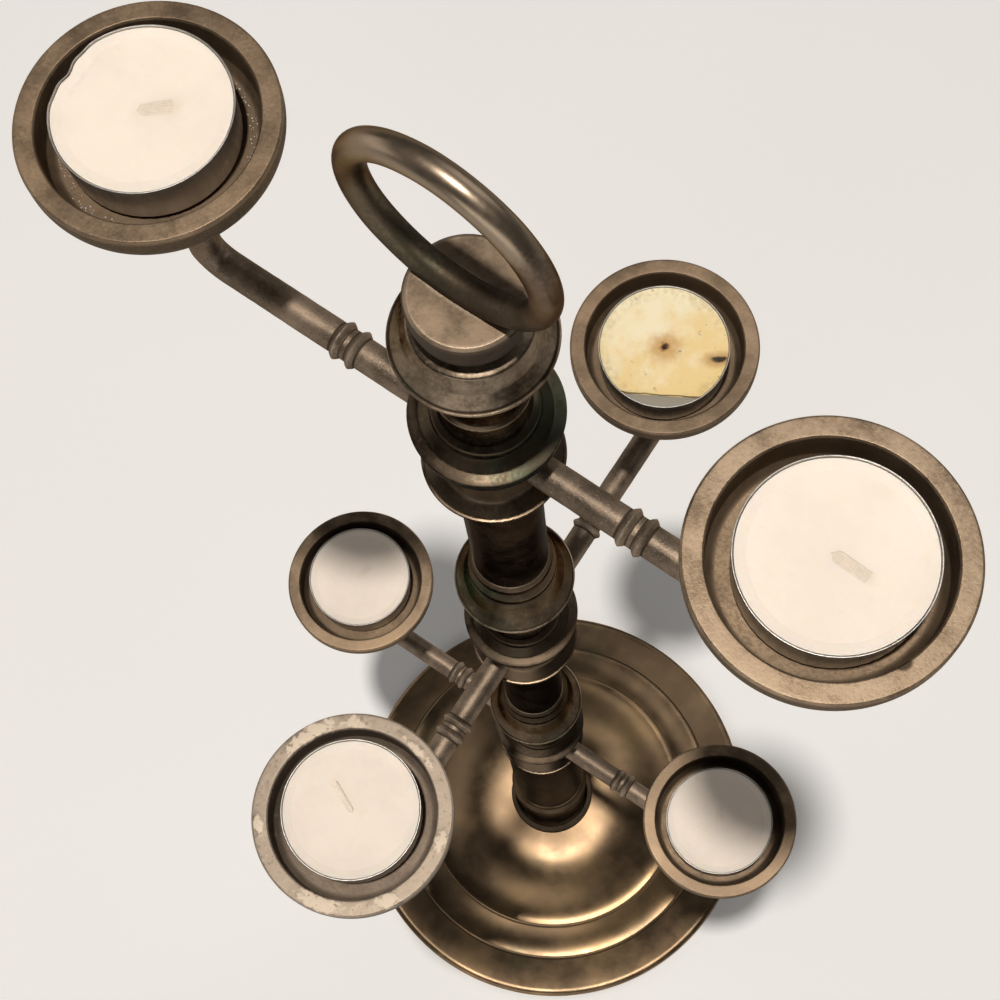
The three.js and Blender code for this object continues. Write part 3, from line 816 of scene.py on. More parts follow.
def bronze(kind):
    """Antique brass: brown patina rubbed light on edges and left dark in hollows. The same marks also paint
    highlights on the ring's top and the saucer tops, and shade on the cap's side, hub flanges, cups and the
    ring's lower half.
    """
    look = SimpleNamespace(**{**PLAIN, **BRONZES[kind]})
    material, g, place, tones = new_finish(f"bronze_{kind}")
    wear, grime, spill = g.own("wear"), g.own("grime"), g.own("spill")
    cloud, blotch = g.noise(place, 24.0, 3.0), g.noise(place, 120.0, 5.0, 0.62)
    speck, grit = g.noise(place, look.fine, 3.0, 0.65), g.noise(place, 2600.0, 2.0)
    x, y, z = g.parts(g.own("lathe", 1))
    radius = (x * x + y * y) ** 0.5
    lines = g.noise(g.add("ShaderNodeCombineXYZ", {}, {0: radius, 1: z, 2: 0.0}), 900.0, 3.0, 0.7)
    worn = toned(tones.worn, 1.0, look.grey)
    body = g.blend(g.rise(cloud * (1 - look.patch) + blotch * look.patch, 0.37, 0.63),
                   toned(tones.bronze, look.dark, look.grey), toned(tones.bronze, look.light, look.grey))
    body = g.blend(g.rise(cloud, 0.5, 0.72) * look.gold, body, tones.gold)
    green = g.rise(g.noise(place, 36.0, 4.0, 0.6) + grime * 0.15, 0.54, 0.74) * look.green
    body = g.blend(green, body, tones.verdigris)
    body = g.blend(g.rise(speck, 0.56, 0.68) * look.speck, body, worn)
    # Wear lightens edges and rims; the same wear mark also paints the highlights on the ring's top and the
    # saucer tops.
    rubbed = g.rise(wear + (blotch - 0.5) * 0.8 + (speck - 0.5) * 0.4, 0.25, 0.85)
    body = g.blend(rubbed * look.wear * tones.wear, body, worn)
    # Patina darkens the hollows; the same grime mark also paints shade on the cap's side, hub flanges, cups
    # and the ring's lower half.
    dirt_and_shade = g.rise(grime + (speck - 0.5) * 0.4 + (blotch - 0.5) * 0.4, 0.15, 0.75)
    pits = g.rise(1 - speck, 0.56, 0.68) * look.grain
    body = g.blend(dirt_and_shade * 0.8, body, tones.deep)
    body = g.blend(pits * 0.55, body, tones.deep)
    crust = g.rise(spill * (0.8 + (speck - 0.5) * 2.2), 0.25, 0.6)
    body = g.blend(crust * 0.8, body, STAINS.crust)
    low, high = look.rough
    dull = g.rise(blotch * 0.6 + speck * 0.4, 0.35, 0.65)
    rough = low + (high - low) * dull + dirt_and_shade * 0.15 + pits * 0.1
    relief = lines * look.rings + speck * look.grain + grit * look.grain * 0.4 + blotch * 0.1 + crust * 0.35
    seal(g, {
        "Base Color": body, "Metallic": look.metal - dirt_and_shade * 0.3 - crust * 0.3,
        "Roughness": rough - rubbed * 0.04, "Anisotropic": look.spin, "Specular IOR Level": 0.35,
        "Specular Tint": (look.edge, look.edge * 0.82, look.edge * 0.64, 1.0),
        "Normal": bump(g, relief, 0.00010)})
    return material


def burnt(g, place, tones, cloud, grain, level):
    """The used wax: yellowed, brown round the wick, scorched on one side and broken away on another."""
    x, y, z = g.parts(g.own("lathe", 1))
    radius = (x * x + y * y) ** 0.5
    drift = g.noise(place, 150.0, 4.0, 0.6)
    tone = g.blend(g.rise(drift * 0.6 + cloud * 0.4 - x * 8.0 + y * 5.0, 0.36, 0.66),
                   tones.wax_used, STAINS.pale)
    wander = radius + (drift - 0.5) * 0.006 + (grain - 0.5) * 0.002
    tone = g.blend((1 - g.rise(wander, 0.0002, 0.0070)) * 0.85, tone, STAINS.halo)
    edge = g.rise(radius, 0.0135, 0.0175) * g.rise(grain * 0.5 + drift * 0.5, 0.42, 0.62)
    tone = g.blend(edge * 0.5, tone, STAINS.edge)
    right, ahead = x - 0.0153, y - 0.0057
    across, up = (right * 0.81 + ahead * 0.58) * 310.0, (ahead * 0.81 - right * 0.58) * 720.0
    scorch = (across * across + up * up) ** 0.5 + (drift - 0.5) * 1.6 + (grain - 0.5) * 0.8
    tone = g.blend((1 - g.rise(scorch, 0.8, 2.3)) * 0.7, tone, STAINS.scorch)
    tone = g.blend((1 - g.rise(scorch, 0.45, 0.95)) * 0.97, tone, tones.soot)
    fleck = g.rise(g.noise(place, 430.0, 2.0, 0.5), 0.70, 0.78)
    tone = g.blend(fleck * 0.6, tone, STAINS.fleck)
    core = 1 - g.rise(radius + (grain - 0.5) * 0.003 + (drift - 0.5) * 0.002, 0.0006, 0.0016)
    tone = g.blend(core * 0.9, tone, STAINS.core)
    sunk = 1 - g.rise(z, level - 0.0009, level - 0.0003)
    lost = g.rise(x * 0.5 - y * 0.866, 0.0145, 0.0148) * sunk
    return g.blend(lost * 0.95, tone, STAINS.bare)


def poured_wax(used, level=0.0):
    """Soft wax: nearly white and matt, or burnt down to a level."""
    material, g, place, tones = new_finish("wax_used" if used else "wax_fresh")
    cloud, grain = g.noise(place, 70.0, 4.0, 0.6), g.noise(place, 620.0, 3.0, 0.6)
    if used:
        tone = burnt(g, place, tones, cloud, grain, level)
    else:
        tone = g.blend(g.rise(cloud, 0.38, 0.68), tones.wax, [c * 0.95 for c in tones.wax])
        smear = g.rise(g.noise(place, 260.0, 2.0, 0.5, (1, 3, 1)), 0.6, 0.75)
        tone = g.blend(smear * 0.15, tone, STAINS.smear)
        tone = g.blend(g.own("stain") * (0.25 + grain * 0.5), tone, STAINS.wicked)
    seal(g, {
        "Base Color": tone, "Roughness": 0.46 + 0.2 * cloud + 0.08 * grain, "IOR": 1.44,
        "Subsurface Weight": 0.22, "Subsurface Radius": (1.0, 0.6, 0.35), "Subsurface Scale": 0.0025,
        "Normal": bump(g, cloud * 0.7 + grain * 0.3, 0.00018)})
    return material


def foil_finish():
    """Thin pressed aluminium with a few creases."""
    material, g, place, tones = new_finish("foil_pressed")
    crease, dull = g.noise(place, 420.0, 3.0, 0.55), g.noise(place, 90.0, 3.0)
    tone = g.blend(g.rise(dull, 0.35, 0.7), [c * 0.72 for c in tones.foil], tones.foil)
    seal(g, {"Base Color": tone, "Metallic": 1.0, "Roughness": 0.34 + dull * 0.2,
             "Normal": bump(g, crease, 0.00012)})
    return material


def wick_finish(charred, flat):
    """Waxed cotton, darker where it lies flat, or a charred stub."""
    kind = "burnt" if charred else "flat" if flat else "cotton"
    material, g, place, tones = new_finish("wick_" + kind)
    thread, mottle = g.noise(place, 3200.0, 2.0), g.noise(place, 800.0, 3.0)
    first, second = (tones.soot, STAINS.char) if charred else (tones.cotton, STAINS.thread)
    if flat:
        first, second = ([c * gain for c in tones.cotton] for gain in (0.86, 0.95))
    tone = g.blend(g.rise(mottle * 0.6 + thread * 0.4, 0.35, 0.65), first, second)
    seal(g, {"Base Color": tone, "Roughness": 0.72 + thread * 0.2, "Normal": bump(g, thread, 0.00006)})
    return material


def plated_steel():
    """Dull zinc plate on the fasteners, with a little rust."""
    material, g, place, tones = new_finish("steel_plated")
    bloom, fine = g.noise(place, 240.0, 4.0, 0.6), g.noise(place, 1800.0, 2.0)
    tone = g.blend(g.rise(bloom, 0.38, 0.66), [c * 0.6 for c in tones.steel], tones.steel)
    tone = g.blend(g.rise(g.noise(place, 75.0, 4.0, 0.65), 0.6, 0.75) * 0.5, tone, STAINS.rust)
    seal(g, {"Base Color": tone, "Metallic": 0.95, "Roughness": 0.34 + bloom * 0.25,
             "Normal": bump(g, fine * 0.5 + bloom * 0.5, 0.00005)})
    return material


# Where things are

def spot(node):
    """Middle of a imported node's box, in mm."""
    low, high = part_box(node)
    return (low + high) * 500


def heading(cup):
    """Unit vectors outwards along a cup's arm and sideways to it."""
    middle = spot("dish_" + cup)
    out = Vector((middle.x, middle.y)).normalized()
    return out, Vector((-out.y, out.x))


def reach_of(cup):
    """From the column's axis to the middle of a cup, in mm."""
    return Vector(spot("dish_" + cup).xy).length


def stand(cup):
    """Middle of a tealight, in mm."""
    out, side = heading(cup)
    forward, across, _, _ = STANDS[cup]
    return out * (reach_of(cup) + forward) + side * across


def tier_of(cup):
    return cup.split("_")[0]


def rim_height(cup):
    return ARM_AXIS[tier_of(cup)] + sizes().dish_rim


def cap_top(s):
    return ARM_AXIS["upper"] + s.cap_low + s.cap_tall


class PieceOperator:
    """What every piece's operator shares."""

    bl_options = {"REGISTER", "UNDO"}

    def execute(self, context):
        self.build(sizes())
        return {"FINISHED"}


class CANDELABRA_OT_base(PieceOperator, bpy.types.Operator):
    """Spin the stepped dome of the base"""

    bl_idname = "candelabra.base"
    bl_label = "Base"

    def build(self, s):
        dome = turned("base_spun", base_profile(s), finish(bronze, "base"), facets=180, step=1.0, uneven=0.35)
        settle(dome, "column", "base_bronze", "base_shell")


class CANDELABRA_OT_column(PieceOperator, bpy.types.Operator):
    """Turn the foot, the shafts, the saucer collars and the drilled hubs"""

    bl_idname = "candelabra.column"
    bl_label = "Column"
    below = {"upper": "middle", "middle": "lower"}
    # How light each tier's saucer top is: wear and a painted highlight, strongest on the upper tier.
    rubbed = {"upper": 0.56, "middle": 0.28, "lower": 0.28}

    def build(self, s):
        dark, smooth = finish(bronze, "column"), finish(bronze, "shaft")
        crisp = dict(step=0.5, reach=0.4)
        foot = turned("foot_turned", foot_profile(s), dark, **crisp)
        settle(foot, "column", "column_bronze", "foot_collar")
        for tier in TIERS:
            axis = ARM_AXIS[tier]
            r, low = s.foot_shaft, s.base_top + s.foot_tall
            if tier in self.below:
                r, low = s.shaft, ARM_AXIS[self.below[tier]] + s.collar_high
            shaft = turned(f"shaft_{tier}_turned", shaft_profile(s, r, low, axis + s.hub_low), smooth)
            settle(shaft, "column", "column_bronze", f"shaft_{tier}")
            profile = top_collar_profile(s, axis) if tier == "upper" else collar_profile(s, axis)
            collar = turned(f"collar_{tier}_turned", profile, dark, **crisp,
                            rub=lambda r, z: self.rub(s, tier, r, z - axis - s.saucer_high))
            settle(collar, "column", "column_bronze", f"collar_{tier}")
            # Painted shade darkens the hub above its arms where it is wider than the waist, on the flange's
            # top.
            hub = turned(f"hub_{tier}_turned", hub_profile(s, axis), dark, **crisp, keen=0.35,
                         soil=lambda r, z: 0.35 if z > axis + 2 and r > s.waist else 0.0)
            cut(hub, *(self.drill(s, f"{tier}_{side}", axis) for side in "ab"))
            settle(hub, f"tier_{tier}", "column_bronze", f"hub_{tier}")

    def rub(self, s, tier, r, up):
        """The top of a saucer is rubbed light, which also paints the highlight it shows, most on the upper
        saucer.
        """
        return self.rubbed[tier] if 0.9 < up < 9 and r > s.waist - 2 else 0.0

    def drill(self, s, cup, axis):
        """A rod the size of an arm's hole."""
        out, _ = heading(cup)
        path = [metres(out.x * r, out.y * r, axis) for r in (s.arm_root - 0.3, 2 * s.waist)]
        rod = drawn("drill", path, False, girth=metres(s.arm + PLAY) * 2)
        return tidy(grow(rod, bar_tree, Sides=40, Unevenness=0.0, Lump=1.0))


class CANDELABRA_OT_cap(PieceOperator, bpy.types.Operator):
    """Turn the cap with its groove, and bend the ring handle"""

    bl_idname = "candelabra.cap"
    bl_label = "Cap and ring"
    turn = math.radians(-1.5)
    points_round = 160

    def build(self, s):
        top = cap_top(s)
        # Painted shade darkens the cap's side, below its top face.
        cap = turned("cap_turned", cap_profile(s, ARM_AXIS["upper"]), finish(bronze, "cap"), uneven=0.12,
                     soil=lambda r, z: 0.95 if z < top - 0.45 else 0.0)
        cut(cap, self.bent("groove", s, s.ring_rod + 0.12, 0.0))
        self.chip(s, cap, top)
        settle(cap, "column", "dish_bronze", "finial_cap")
        settle(self.bent("ring_bent", s, s.ring_rod, 0.18), "column", "arm_bronze", "ring_handle")

    def chip(self, s, cap, top):
        """Rubs the edge of the groove light."""
        wide = 0.8
        marks = cap.data.attributes["wear"].data
        for vertex, mark in zip(cap.data.vertices, marks):
            at = Matrix.Rotation(-self.turn, 2) @ vertex.co.xy * 1000
            rise = s.ring - math.sqrt(s.ring ** 2 - (at.x - s.ring_aside) ** 2) + s.ring_rod - s.ring_sunk
            gap = abs(at.y) - math.sqrt(max(s.ring_rod ** 2 - rise ** 2, 0.0))
            if vertex.co.z * 1000 > top - 0.4:
                mark.value = max(mark.value, math.exp(-(gap / wide) ** 2))

    def bent(self, name, s, girth, uneven):
        """A rod bent to an upright ring, in line with the top arms. It is rubbed light along its top, which
        also paints its highlight, and painted shade makes it darker towards the bottom.
        """
        centre = cap_top(s) - s.ring_sunk + s.ring_rod + s.ring
        turns = [math.tau * i / self.points_round for i in range(self.points_round)]
        points = []
        for a in turns:
            out = s.ring_aside + s.ring * math.cos(a)
            points.append(metres(
                out * math.cos(self.turn), out * math.sin(self.turn), centre + s.ring * math.sin(a)))
        # Lighter along the top as wear and painted highlight, and painted shade darker towards the bottom.
        path = drawn(name, points, True, girth=metres(girth) * len(points),
                     wear=[clamp(math.sin(a)) for a in turns],
                     grime=[clamp(0.21 - 0.39 * math.sin(a)) for a in turns])
        return tidy(grow(path, bar_tree, Sides=40, Unevenness=uneven / 1000, Lump=60.0,
                         Material=finish(bronze, "ring")))


class CANDELABRA_OT_arms(PieceOperator, bpy.types.Operator):
    """Cast the six arms with their ridges, elbows and posts"""

    bl_idname = "candelabra.arms"
    bl_label = "Arms"

    def build(self, s):
        metal = finish(bronze, "arm")
        for cup in CUPS:
            axis, (out, _) = ARM_AXIS[tier_of(cup)], heading(cup)
            far, up, girth, wear, grime = zip(*self.stations(s, reach_of(cup)))
            points = [metres(out.x * r, out.y * r, axis + z) for r, z in zip(far, up)]
            path = drawn(f"arm_{cup}_cast", points, False, girth=metres(*girth), wear=wear, grime=grime)
            arm = grow(path, bar_tree, Sides=36, Unevenness=0.00016, Lump=420.0, Material=metal)
            settle(tidy(arm), f"tier_{tier_of(cup)}", "arm_bronze", f"arm_{cup}")

    def stations(self, s, reach):
        """Along an arm: distance out, height, girth, wear and grime."""
        close, wide, half = 0.2, 1.0, s.ridge_wide / 2
        ridges = [s.ridge_at - s.ridge_apart / 2, s.ridge_at + s.ridge_apart / 2]
        line, x = [], s.arm_root
        while x < reach - s.elbow:
            near = min(abs(x - at) for at in ridges)
            on = max(0.0, 1 - near / half)
            line.append((x, 0.0, s.arm + (s.ridge_proud + 0.15) * on ** 0.7, on * 0.8,
                         0.8 if 0 <= near - half < 0.5 else 0.0))
            x += close if near < 3 else wide
        for i in range(13):
            t = i * math.pi / 24
            line.append((reach - s.elbow * (1 - math.sin(t)), s.elbow * (1 - math.cos(t)), s.arm, 0.0, 0.0))
        top = s.dish_rim - s.dish_depth - s.dish_floor - s.boss_long + s.socket - PLAY
        z = s.elbow + wide
        while z < top - 0.5:
            line.append((reach, z, s.arm, 0.0, 0.0))
            z += wide
        return line + [(reach, top, s.arm, 0.0, 0.0)]


class CANDELABRA_OT_cups(PieceOperator, bpy.types.Operator):
    """Turn the six cups, and let a little wax fall in two of them"""

    bl_idname = "candelabra.cups"
    bl_label = "Cups"
    shine = {"upper_a": 0.25, "upper_b": 0.45, "middle_a": 0.25, "middle_b": 0.75, "lower_a": 0.3,
             "lower_b": 0.25}
    # Spots on a rim: turn and half width in degrees, then from one radius to another in mm.
    blots = {"middle_b": (
        (154, 22, 22.5, 27.5), (126, 9, 23, 27), (18, 8, 23.5, 27), (-30, 12, 22.5, 27.5),
        (-73, 18, 22.5, 27.5), (80, 15, 23, 26), (-140, 8, 24, 27))}
    smudges = {"upper_b": ((-25, 5, 22.6, 24.4),)}
    round_ring = 48

    def build(self, s):
        for cup in CUPS:
            centre, rim = spot("dish_" + cup).xy, rim_height(cup)
            metal = finish(bronze, "waxed" if cup in self.blots else "dish")
            # Painted shade darkens each cup inside and below its rim; the rub on the rim is wear.
            dish = turned(
                f"cup_{cup}_turned", dish_profile(s, rim), metal, centre=centre, facets=192, uneven=0.22,
                reach=0.5, keen=0.3, soil=lambda r, z: self.soil(s, r, rim - z),
                rub=lambda r, z: self.shine[cup] if z > rim - 0.6 and r > s.dish_inner else 0.0)
            self.mark(dish, "spill", centre, rim, self.blots.get(cup, ()))
            self.mark(dish, "grime", centre, rim, self.smudges.get(cup, ()))
            settle(dish, f"tier_{tier_of(cup)}", "dish_bronze", f"dish_{cup}")
        self.spatter("upper_a", (s.tealight, s.dish_inner - 1.5), -s.dish_depth,
                     density=2400000.0, seed=3, size=0.22)
        self.spatter("middle_b", (s.dish_inner + 0.9, s.dish - 1.4), -0.1,
                     density=90000.0, seed=5, size=0.40)

    def mark(self, dish, name, centre, rim, spots):
        """Marks ragged spots on a rim. Spilt wax stands a little proud."""
        if not spots:
            return
        proud, deepest = 0.0002, 1.5
        layer = dish.data.attributes.get(name) or dish.data.attributes.new(name, "FLOAT", "POINT")
        for vertex, item in zip(dish.data.vertices, layer.data):
            if vertex.co.z * 1000 < rim - deepest:
                continue
            at = vertex.co.xy * 1000 - centre
            turn = math.degrees(math.atan2(at.y, at.x))
            lump = 0.5 * noise.noise(vertex.co * 380) + 0.3 * noise.noise(vertex.co * 900)
            for middle, half, low, high in spots:
                aside = abs((turn - middle + 180) % 360 - 180) / half
                across = abs(at.length - (low + high) / 2) / (high - low) * 2
                within = 1.25 - (aside * aside + across * across) ** 0.5 + lump
                item.value = max(item.value, min(within, 1.0))
            if name == "spill":
                vertex.co.z += max(item.value, 0.0) * proud

    def soil(self, s, r, down):
        """Painted shade: the inside of a cup is darker from just under its rim, and the outside below the rim
        more so.
        """
        if down > 0.7 and r > s.dish_inner + 0.5:
            return 0.5
        inside = r < s.dish_inner + 0.2 and 0.3 < down < s.dish_depth + 0.2
        return min(0.36, 0.12 + 0.06 * down) if inside else 0.0

    def spatter(self, cup, span, level, density, seed, size):
        """Drops of old wax on a flat ring of a cup."""
        centre, height, count = spot("dish_" + cup), rim_height(cup) + level + 0.02, self.round_ring
        turns = [math.tau * i / count for i in range(count)]
        points = [metres(centre.x + r * math.cos(a), centre.y + r * math.sin(a), height)
                  for r in span for a in turns]
        faces = [(i, count + i, count + (i + 1) % count, (i + 1) % count) for i in range(count)]
        drops = meshed(f"wax_drops_{cup}", points, faces)
        grow(drops, spatter_tree, Density=density, Seed=seed, Size=size / 1000,
             Material=finish(poured_wax, False))
        drops.data.shade_smooth()
        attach(drops, "tier_" + tier_of(cup))


class CANDELABRA_OT_tealights(PieceOperator, bpy.types.Operator):
    """Press the foil cups, pour the wax and lay the wicks"""

    bl_idname = "candelabra.tealights"
    bl_label = "Tealights"
    dented, dent_way = "upper_a", (-16.6, -2.0)
    lost_way, lost_deep = (7.3, -12.64), 1.1
    # A wick that splays is a flat tape. Strands are in metres, and how high a wick lies on the wax in mm.
    splay = {"upper_a": 0.03, "upper_b": 0.004}
    strand = {"upper_a": 0.00046, "upper_b": 0.00046, "middle_a": 0.00030, "middle_b": 0.00050}
    lie = {"upper_a": -0.26, "upper_b": -0.26, "middle_b": 0.3, "lower_a": -0.45, "lower_b": -0.45}

    def build(self, s):
        foil = finish(foil_finish)
        for cup in CUPS:
            body, centre, used = "tealight_" + cup, stand(cup), STANDS[cup][3] == 0
            low = rim_height(cup) - s.dish_depth + 0.1
            lip = low + s.tealight_tall
            level = lip - s.wax_down
            shell = turned(f"tealight_{cup}_pressed", foil_profile(s, low), foil, centre=centre,
                           facets=192, step=0.7)
            grow(shell, flute_tree, Flutes=FLUTES, Depth=0.00009, Low=(low + 1.0) / 1000,
                 High=(lip - 0.9) / 1000, Material=foil)
            candle = finish(poured_wax, True, level / 1000) if used else finish(poured_wax, False)
            wax = turned(f"wax_{cup}_poured", wax_profile(s, low), candle, centre=centre, step=0.6)
            if cup == self.dented:
                self.dent(shell, centre, lip, deep=1.1, wide=0.30)
                self.dent(wax, centre, lip, deep=1.25, wide=0.31)
            if used:
                cut(wax, self.lost_wax(centre, level - self.lost_deep, lip + 2))
            settle(tidy(shell), body, "tealight_foil", f"tealight_cup_{cup}")
            self.stain(wax, cup, centre)
            settle(tidy(wax), body, "candle_wax", f"wax_{cup}")
            self.wick(cup, centre, level, body, used)

    def dent(self, piece, centre, lip, deep, wide):
        """A thumb dent in the lip, so deep in mm and so wide in radians."""
        out, tall, inner, sink = Vector(self.dent_way).normalized(), 6, 15, 0.0002
        for vertex in piece.data.vertices:
            at = vertex.co.xy * 1000 - centre
            up = (vertex.co.z * 1000 - lip + tall) / tall
            if at.length < inner or up < 0:
                continue
            turn = at.normalized().angle_signed(out)
            fall = math.exp(-(turn / wide) ** 2) * up ** 2 * (1 + 0.25 * math.cos(turn * 19))
            push = out * (-deep * fall / 1000)
            vertex.co += Vector((push.x, push.y, -sink * fall))

    def lost_wax(self, centre, low, high):
        """What has broken away along a wavering chord of the used tealight."""
        way, half, count, beyond = Vector(self.lost_way), 20, 40, 26
        out, side = way.normalized(), Vector((-way.y, way.x)).normalized()
        plan = []
        for i in range(count + 1):
            waver = 0.05 * math.sin(i * 1.9) + 0.1 * math.sin(i * 0.7)
            plan.append(out * (way.length + waver) + side * (-half + 2 * half * i / count))
        plan += [out * beyond + side * half, out * beyond - side * half]
        points = [metres(centre.x + p.x, centre.y + p.y, z) for z in (low, high) for p in plan]
        size = len(plan)
        faces = [tuple(range(size)), tuple(range(size, 2 * size))]
        faces += [(i, (i + 1) % size, size + (i + 1) % size, size + i) for i in range(size)]
        return tidy(meshed("lost_wax", points, faces))

    def stain(self, wax, cup, centre):
        """Marks each point's place on the tealight, and how close the wick lies to it."""
        _, _, turn, reach = STANDS[cup]
        out = facing(turn)
        wide = 2.0 if cup == "upper_a" else 1.1
        places, marks = [], []
        for vertex in wax.data.vertices:
            at = vertex.co.xy * 1000 - centre
            run = min(max(at.dot(out), 0.0), reach)
            marks.append(math.exp(-((at - out * run).length / wide) ** 2) * (0.5 + 0.5 * run / max(reach, 1)))
            places += [*metres(at.x, at.y), vertex.co.z]
        wax.data.attributes["lathe"].data.foreach_set("vector", places)
        wax.data.attributes.new("stain", "FLOAT", "POINT").data.foreach_set("value", marks)

    def wick(self, cup, centre, top, body, used):
        """A wick that stands in the wax and then lies on it, or the used one's stub."""
        _, _, turn, reach = STANDS[cup]
        out, splay, flat, lengths = facing(turn), self.splay.get(cup, 0.0), cup in self.splay, 6
        start = -1.2 if flat else 0.0
        line = [(start, top - 5.2), (start, top - 2), (start, top - 0.4)]
        if used:
            line += [(0.1, top + 0.1), (0.3, top + 0.3), (0.6, top + 0.4)]
        else:
            lie, bent = top + self.lie[cup], start + 0.9
            line += [(bent - 0.6, lie - 0.1), (bent, lie)]
            line += [(bent + (reach - bent) * k / lengths, lie - 0.08 * k / lengths)
                     for k in range(1, lengths + 1)]
        points = [metres(centre.x + out.x * r, centre.y + out.y * r, z) for r, z in line]
        wick = drawn(f"wick_{cup}_cotton", points, False)
        grow(wick, wick_tree, Strand=self.strand.get(cup, 0.00036), Lay=0.0 if flat else 0.00033,
             Turns_per_Metre=150.0, Bend=0.0052, Apart=0.00045 / (splay or 1),
             Splay=(-out.y * splay, out.x * splay, 0.0), Material=finish(wick_finish, used, flat))
        settle(tidy(wick, 60), body, "candle_wick", f"wick_{cup}")


class CANDELABRA_OT_fasteners(PieceOperator, bpy.types.Operator):
    """Make the tie rod, the washer and the nut under the base"""

    bl_idname = "candelabra.fasteners"
    bl_label = "Fasteners"
    washer, washer_thick = 12, 2
    nut_flat, nut_corner, nut_face, nut_tall = 6.0, 6.93, 5.4, 6
    rod, rod_root, rod_end, rod_tail, pitch = 3.0, 2.6, 2.5, 3.5, 1.0

    def build(self, s):
        steel, seat = finish(plated_steel), s.base_top - s.base_skin
        high = seat - self.washer_thick
        washer = turned("washer_pressed", [
            (s.bore, high), (self.washer, high, 0.5), (self.washer, seat, 0.2), (s.bore, seat)], steel)
        settle(washer, "column", "fastener_steel", "base_washer")
        low, face, corner = high - self.nut_tall, self.nut_face, self.nut_corner
        nut = turned("nut_milled", [
            (s.bore, low), (face, low), (corner, low + 1.0), (corner, high - 1.0), (face, high),
            (s.bore, high)], steel, facets=144, step=0.4)
        for vertex in nut.data.vertices:
            at = vertex.co.xy * 1000
            turn = math.atan2(at.y, at.x) % (math.pi / 3) - math.pi / 6
            limit = self.nut_flat / math.cos(turn)
            if at.length > limit:
                vertex.co.x, vertex.co.y = at * (limit / at.length / 1000)
        settle(tidy(nut, 20), "column", "fastener_steel", "base_nut")
        foot, top = low - self.rod_tail, ARM_AXIS["upper"] + s.cap_low + s.cap_tall / 2
        thread, z = [], foot + 0.6
        while z < seat + 4:
            thread += [(self.rod, z), (self.rod_root, z + self.pitch / 2)]
            z += self.pitch
        rod = turned("rod_threaded", [
            (0, foot), (self.rod_end, foot), *thread, (self.rod, seat + 5), (self.rod, top), (0, top)],
            steel, facets=48, step=30)
        settle(rod, "column", "fastener_steel", "tie_rod")


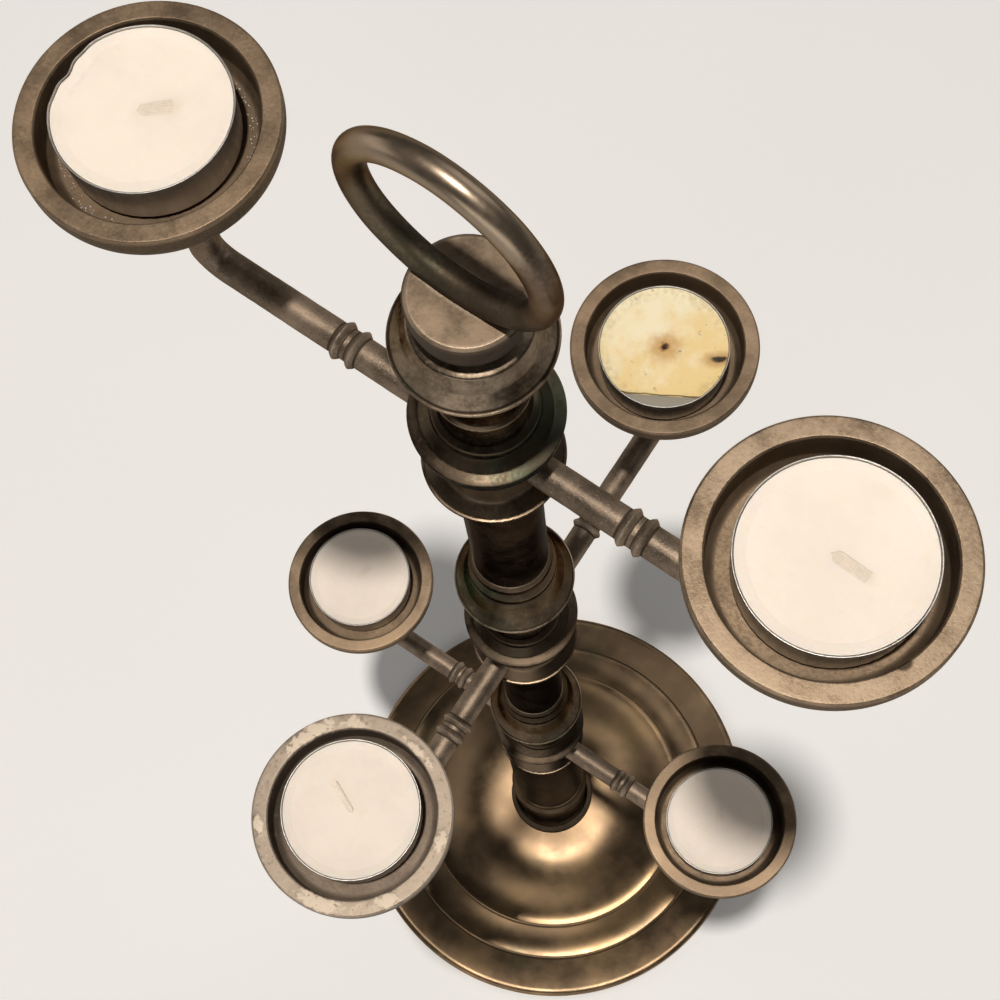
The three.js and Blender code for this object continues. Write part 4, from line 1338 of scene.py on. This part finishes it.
class CANDELABRA_OT_stage(bpy.types.Operator):
    """Lay the floor, hang the lights and set the camera"""

    bl_idname = "candelabra.stage"
    bl_label = "Stage"
    bl_options = {"REGISTER", "UNDO"}

    def execute(self, context):
        stage, half = context.scene.candelabra_stage, FLOOR_HALF
        corners = [(-half, -half, 0), (half, -half, 0), (half, half, 0), (-half, half, 0)]
        floor = meshed("floor", corners, [(0, 1, 2, 3)])
        floor.data.materials.append(self.floor_finish(stage))
        for name in LAMPS:
            self.lamp(name, getattr(stage, name + "_power"))
        context.scene.world = self.room(stage)
        context.scene.view_settings.view_transform = "Standard"
        lens = bpy.data.cameras.new("camera")
        lens.sensor_width, lens.lens, lens.clip_start = 36.0, stage.lens, 0.02
        camera = put("camera", lens)
        camera.matrix_world = Matrix.Translation(CAMERA_PLACE) @ Matrix(CAMERA_AXES).transposed().to_4x4()
        context.scene.camera = camera
        return {"FINISHED"}

    def lamp(self, name, watts):
        shape, size, place, tint = LAMPS[name]
        light = bpy.data.lights.new(name, "AREA")
        light.shape, light.energy, light.color = shape, watts, tint
        light.size, light.size_y = size
        lamp = put(name, light)
        lamp.location = place
        lamp.rotation_euler = (Vector(LAMPS_AIM) - lamp.location).to_track_quat("-Z", "Y").to_euler()

    def room(self, stage):
        """A dim room that lights the metal. Past the floor the eye meets a pale wall instead."""
        world = bpy.data.worlds.new("room")
        world.use_nodes = True
        g = Graph(world.node_tree)
        dim = g.add("ShaderNodeBackground", {}, {"Color": (1.0, 0.95, 0.89, 1.0), "Strength": stage.room})
        wall = g.add("ShaderNodeBackground", {}, {"Color": (*stage.wall, 1.0), "Strength": 1.0})
        seen = g.add("ShaderNodeLightPath")
        both = g.add("ShaderNodeMixShader", {}, {0: seen, 1: dim, 2: wall})
        g.add("ShaderNodeOutputWorld", {}, {"Surface": both})
        return world

    def floor_finish(self, stage):
        """A pale floor that fades into the wall far from the object."""
        material, g, place, _ = new_finish("floor_pale")
        cloud = g.noise(place, 3.0, 2.0)
        tone = g.blend(g.rise(cloud, 0.3, 0.7), [c * 0.985 for c in stage.floor], stage.floor)
        x, y, _ = g.parts(place)
        far = g.rise((x * x + y * y) ** 0.5, 1.6, 4.2)
        glow = g.blend(far, (0.0, 0.0, 0.0), stage.wall)
        seal(g, {"Base Color": tone, "Roughness": 0.9, "Emission Color": glow, "Emission Strength": 1.0})
        return material


class CANDELABRA_PT_panel(bpy.types.Panel):
    """The candelabra's pieces, sizes and finishes"""

    bl_idname = "CANDELABRA_PT_panel"
    bl_label = "Tealight candelabra"
    bl_space_type = "VIEW_3D"
    bl_region_type = "UI"
    bl_category = "Candelabra"

    def draw(self, context):
        for operator in OPERATORS:
            self.layout.operator(operator.bl_idname)
        for group in ("candelabra_sizes", "candelabra_finish", "candelabra_stage"):
            box = self.layout.box()
            values = getattr(context.scene, group)
            for key in type(values).__annotations__:
                box.prop(values, key)


OPERATORS = (
    CANDELABRA_OT_base, CANDELABRA_OT_column, CANDELABRA_OT_cap, CANDELABRA_OT_arms, CANDELABRA_OT_cups,
    CANDELABRA_OT_tealights, CANDELABRA_OT_fasteners, CANDELABRA_OT_stage,
)
GROUPS = {
    "candelabra_sizes": CandelabraSizes,
    "candelabra_finish": CandelabraFinish,
    "candelabra_stage": CandelabraStage,
}


def register():
    for cls in (*GROUPS.values(), *OPERATORS, CANDELABRA_PT_panel):
        bpy.utils.register_class(cls)
    for name, cls in GROUPS.items():
        setattr(bpy.types.Scene, name, bpy.props.PointerProperty(type=cls))


def unregister():
    for name in GROUPS:
        delattr(bpy.types.Scene, name)
    for cls in (CANDELABRA_PT_panel, *reversed(OPERATORS), *reversed(GROUPS.values())):
        bpy.utils.unregister_class(cls)


def main():
    register()
    bpy.ops.candelabra.base()
    bpy.ops.candelabra.column()
    bpy.ops.candelabra.cap()
    bpy.ops.candelabra.arms()
    bpy.ops.candelabra.cups()
    bpy.ops.candelabra.tealights()
    bpy.ops.candelabra.fasteners()
    bpy.ops.candelabra.stage()


if __name__ == "__main__":
    main()
